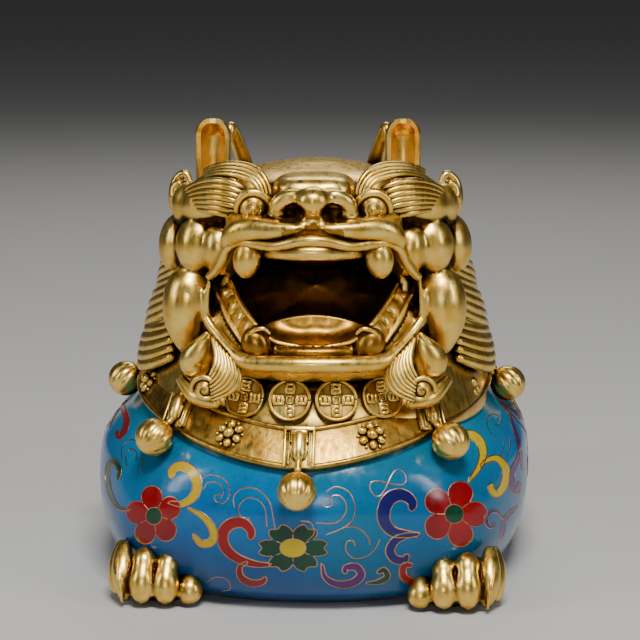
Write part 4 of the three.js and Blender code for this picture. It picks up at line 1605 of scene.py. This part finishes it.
def pawForms(x, y, toeTurn, halfWidth, length, side):
    middle = Vector((x * side, y, 4.5))
    turn = math.radians(toeTurn * side)
    sideways = (1, 0, 0)

    def forward(across, ahead, up):
        return (
            middle.x + across * math.cos(turn) + ahead * math.sin(turn),
            middle.y + across * math.sin(turn) - ahead * math.cos(turn),
            up,
        )

    forms = [egg(middle, (halfWidth * 0.92, length * 0.92, 7.4), (0, 0, toeTurn * side), 32)]
    for across, ahead, top in paw["toes"]:
        foot = across * halfWidth * side
        tip = ahead * length
        finger = [forward(foot, tip + s, top * part + up) for s, part, up in paw["toeRun"]]
        forms.append(sweep(finger, [r * halfWidth for r in paw["toeRadii"]], 18, 30, towards=sideways))
        crest = [forward(foot, tip + s, top * part + up) for s, part, up in paw["crest"]]
        forms.append(sweep(crest, (0.3, 0.75, 0.7, 0.3), 8, 16, towards=sideways))
        for aside in (-0.9, 0.9):
            knuckle = forward(foot + aside, tip + 1.3, top * 0.78)
            forms.append(egg(knuckle, (0.8, 1.0, 0.75), fine=12))
    for leaf, radii in paw["leaves"]:
        path = [forward(a * halfWidth * side, f * length, u) for a, f, u in leaf]
        forms.append(sweep(path, radii, 16, 24, towards=sideways))
    return forms


# Where each paw stands: side 1 is the figure's side at +X.
fore = {"y": -38, "toeTurn": 5, "halfWidth": 10.2, "length": 11.5}
hind = {"x": 39.4, "y": 33, "toeTurn": 10, "halfWidth": 9.2, "length": 14}
paws = {
    "paw_front_right": {**fore, "x": 33.6, "side": 1},
    "paw_front_left": {**fore, "x": 31.8, "side": -1},
    "paw_hind_right": {**hind, "side": 1},
    "paw_hind_left": {**hind, "side": -1},
}
for name, values in paws.items():
    shape = clay(pawForms(**values), 0.42, 2)
    for vert in shape.verts:
        vert.co.z = max(vert.co.z, 0)
    piece(name.replace("_", " "), shape, giltCreaseShaded, name, hollows=(4, 14, 30))

print("stage: tail")


# The tail's three flames, and the angles in radians at which cords run along them.
flame = {
    "middle": [(0, 62.5, 22), (0, 66, 31), (2.5, 64, 41), (-1.5, 59, 49), (-5.5, 55, 51.5)],
    "beside": [(3, 63, 23), (9, 64.5, 28), (13, 61.5, 36), (9.5, 60.5, 42)],
    "radii": (2.6, 4.6, 3.7, 2.2, 0.8),
    "cords": (-0.72, -0.24, 0.24, 0.72),
    "cordDepth": 0.93,
}


def tailForms():
    outer = flame["beside"]
    forms = []
    for path in (flame["middle"], outer, [(-x, y, z) for x, y, z in outer]):
        forms.append(sweep(path, flame["radii"], 24, 40, towards=(0, 1, 0)))
        for lean in flame["cords"]:
            cord = []
            for k in range(7):
                at = Vector(curveAt(path, k / 6))
                radius = float(curveAt([(r,) for r in flame["radii"]], k / 6)[0])
                cord.append(at + Vector((math.sin(lean), math.cos(lean), 0)) * radius * flame["cordDepth"])
            forms.append(sweep(cord, (0.5, 1.15, 0.95, 0.6, 0.3), 10, 36, towards=(0, 1, 0)))
    return forms


piece("tail", gathered(tailForms()), gilt, "tail", sharp=80)

print("stage: studio")
# The floor's colour and roughness, the world's colour and strength, and each lamp's place, sizes and watts.
studio = {"floor": (0.54, 0.53, 0.51), "floorRough": 0.6, "sky": (0.86, 0.88, 0.92), "world": 0.05}
lamps = {
    "key": {"at": (0.08, -0.50, 0.82), "size": 0.32, "tall": 0.2, "power": 9.0},
    "left": {"at": (-0.72, -0.34, 0.42), "size": 0.1, "tall": 0.5, "power": 1.7},
    "right": {"at": (0.72, -0.38, 0.42), "size": 0.1, "tall": 0.5, "power": 1.7},
    "front": {"at": (0.0, -0.95, 0.28), "size": 0.24, "tall": 0.14, "power": 1.0},
    "rim": {"at": (0.0, 0.75, 0.75), "size": 0.5, "tall": 0.24, "power": 2.0},
}

floorForm = bmesh.new()
bmesh.ops.create_grid(floorForm, x_segments=1, y_segments=1, size=20)
floor = shown("floor", floorForm)
pale = makeMaterial("pale floor", 0.0)[0]
paleShader = pale.node_tree.nodes["Principled BSDF"]
paleShader.inputs["Base Color"].default_value = (*studio["floor"], 1)
paleShader.inputs["Roughness"].default_value = studio["floorRough"]
floor.data.materials.append(pale)


def placeLamp(name, at, size, tall, power):
    data = bpy.data.lights.new(name, "AREA")
    data.energy = power
    data.size = size
    data.shape = "RECTANGLE"
    data.size_y = tall
    lamp = bpy.data.objects.new(name, data)
    lamp.location = at
    lamp.rotation_euler = (Vector((0, 0, 0.055)) - Vector(at)).to_track_quat("-Z", "Y").to_euler()
    bpy.context.scene.collection.objects.link(lamp)


for name, values in lamps.items():
    placeLamp(name, **values)

world = bpy.data.worlds.new("studio")
world.use_nodes = True
backdrop = world.node_tree.nodes["Background"]
backdrop.inputs["Color"].default_value = (*studio["sky"], 1)
backdrop.inputs["Strength"].default_value = studio["world"]
bpy.context.scene.world = world

eye, back, right, up = cameraAxes()
data = bpy.data.cameras.new("camera")
data.lens = camera["lens"]
data.sensor_width = 36
viewer = bpy.data.objects.new("camera", data)
viewer.matrix_world = Matrix((right, up, back)).transposed().to_4x4()
viewer.location = eye * mm
bpy.context.scene.collection.objects.link(viewer)
bpy.context.scene.camera = viewer


print("stage: finished")
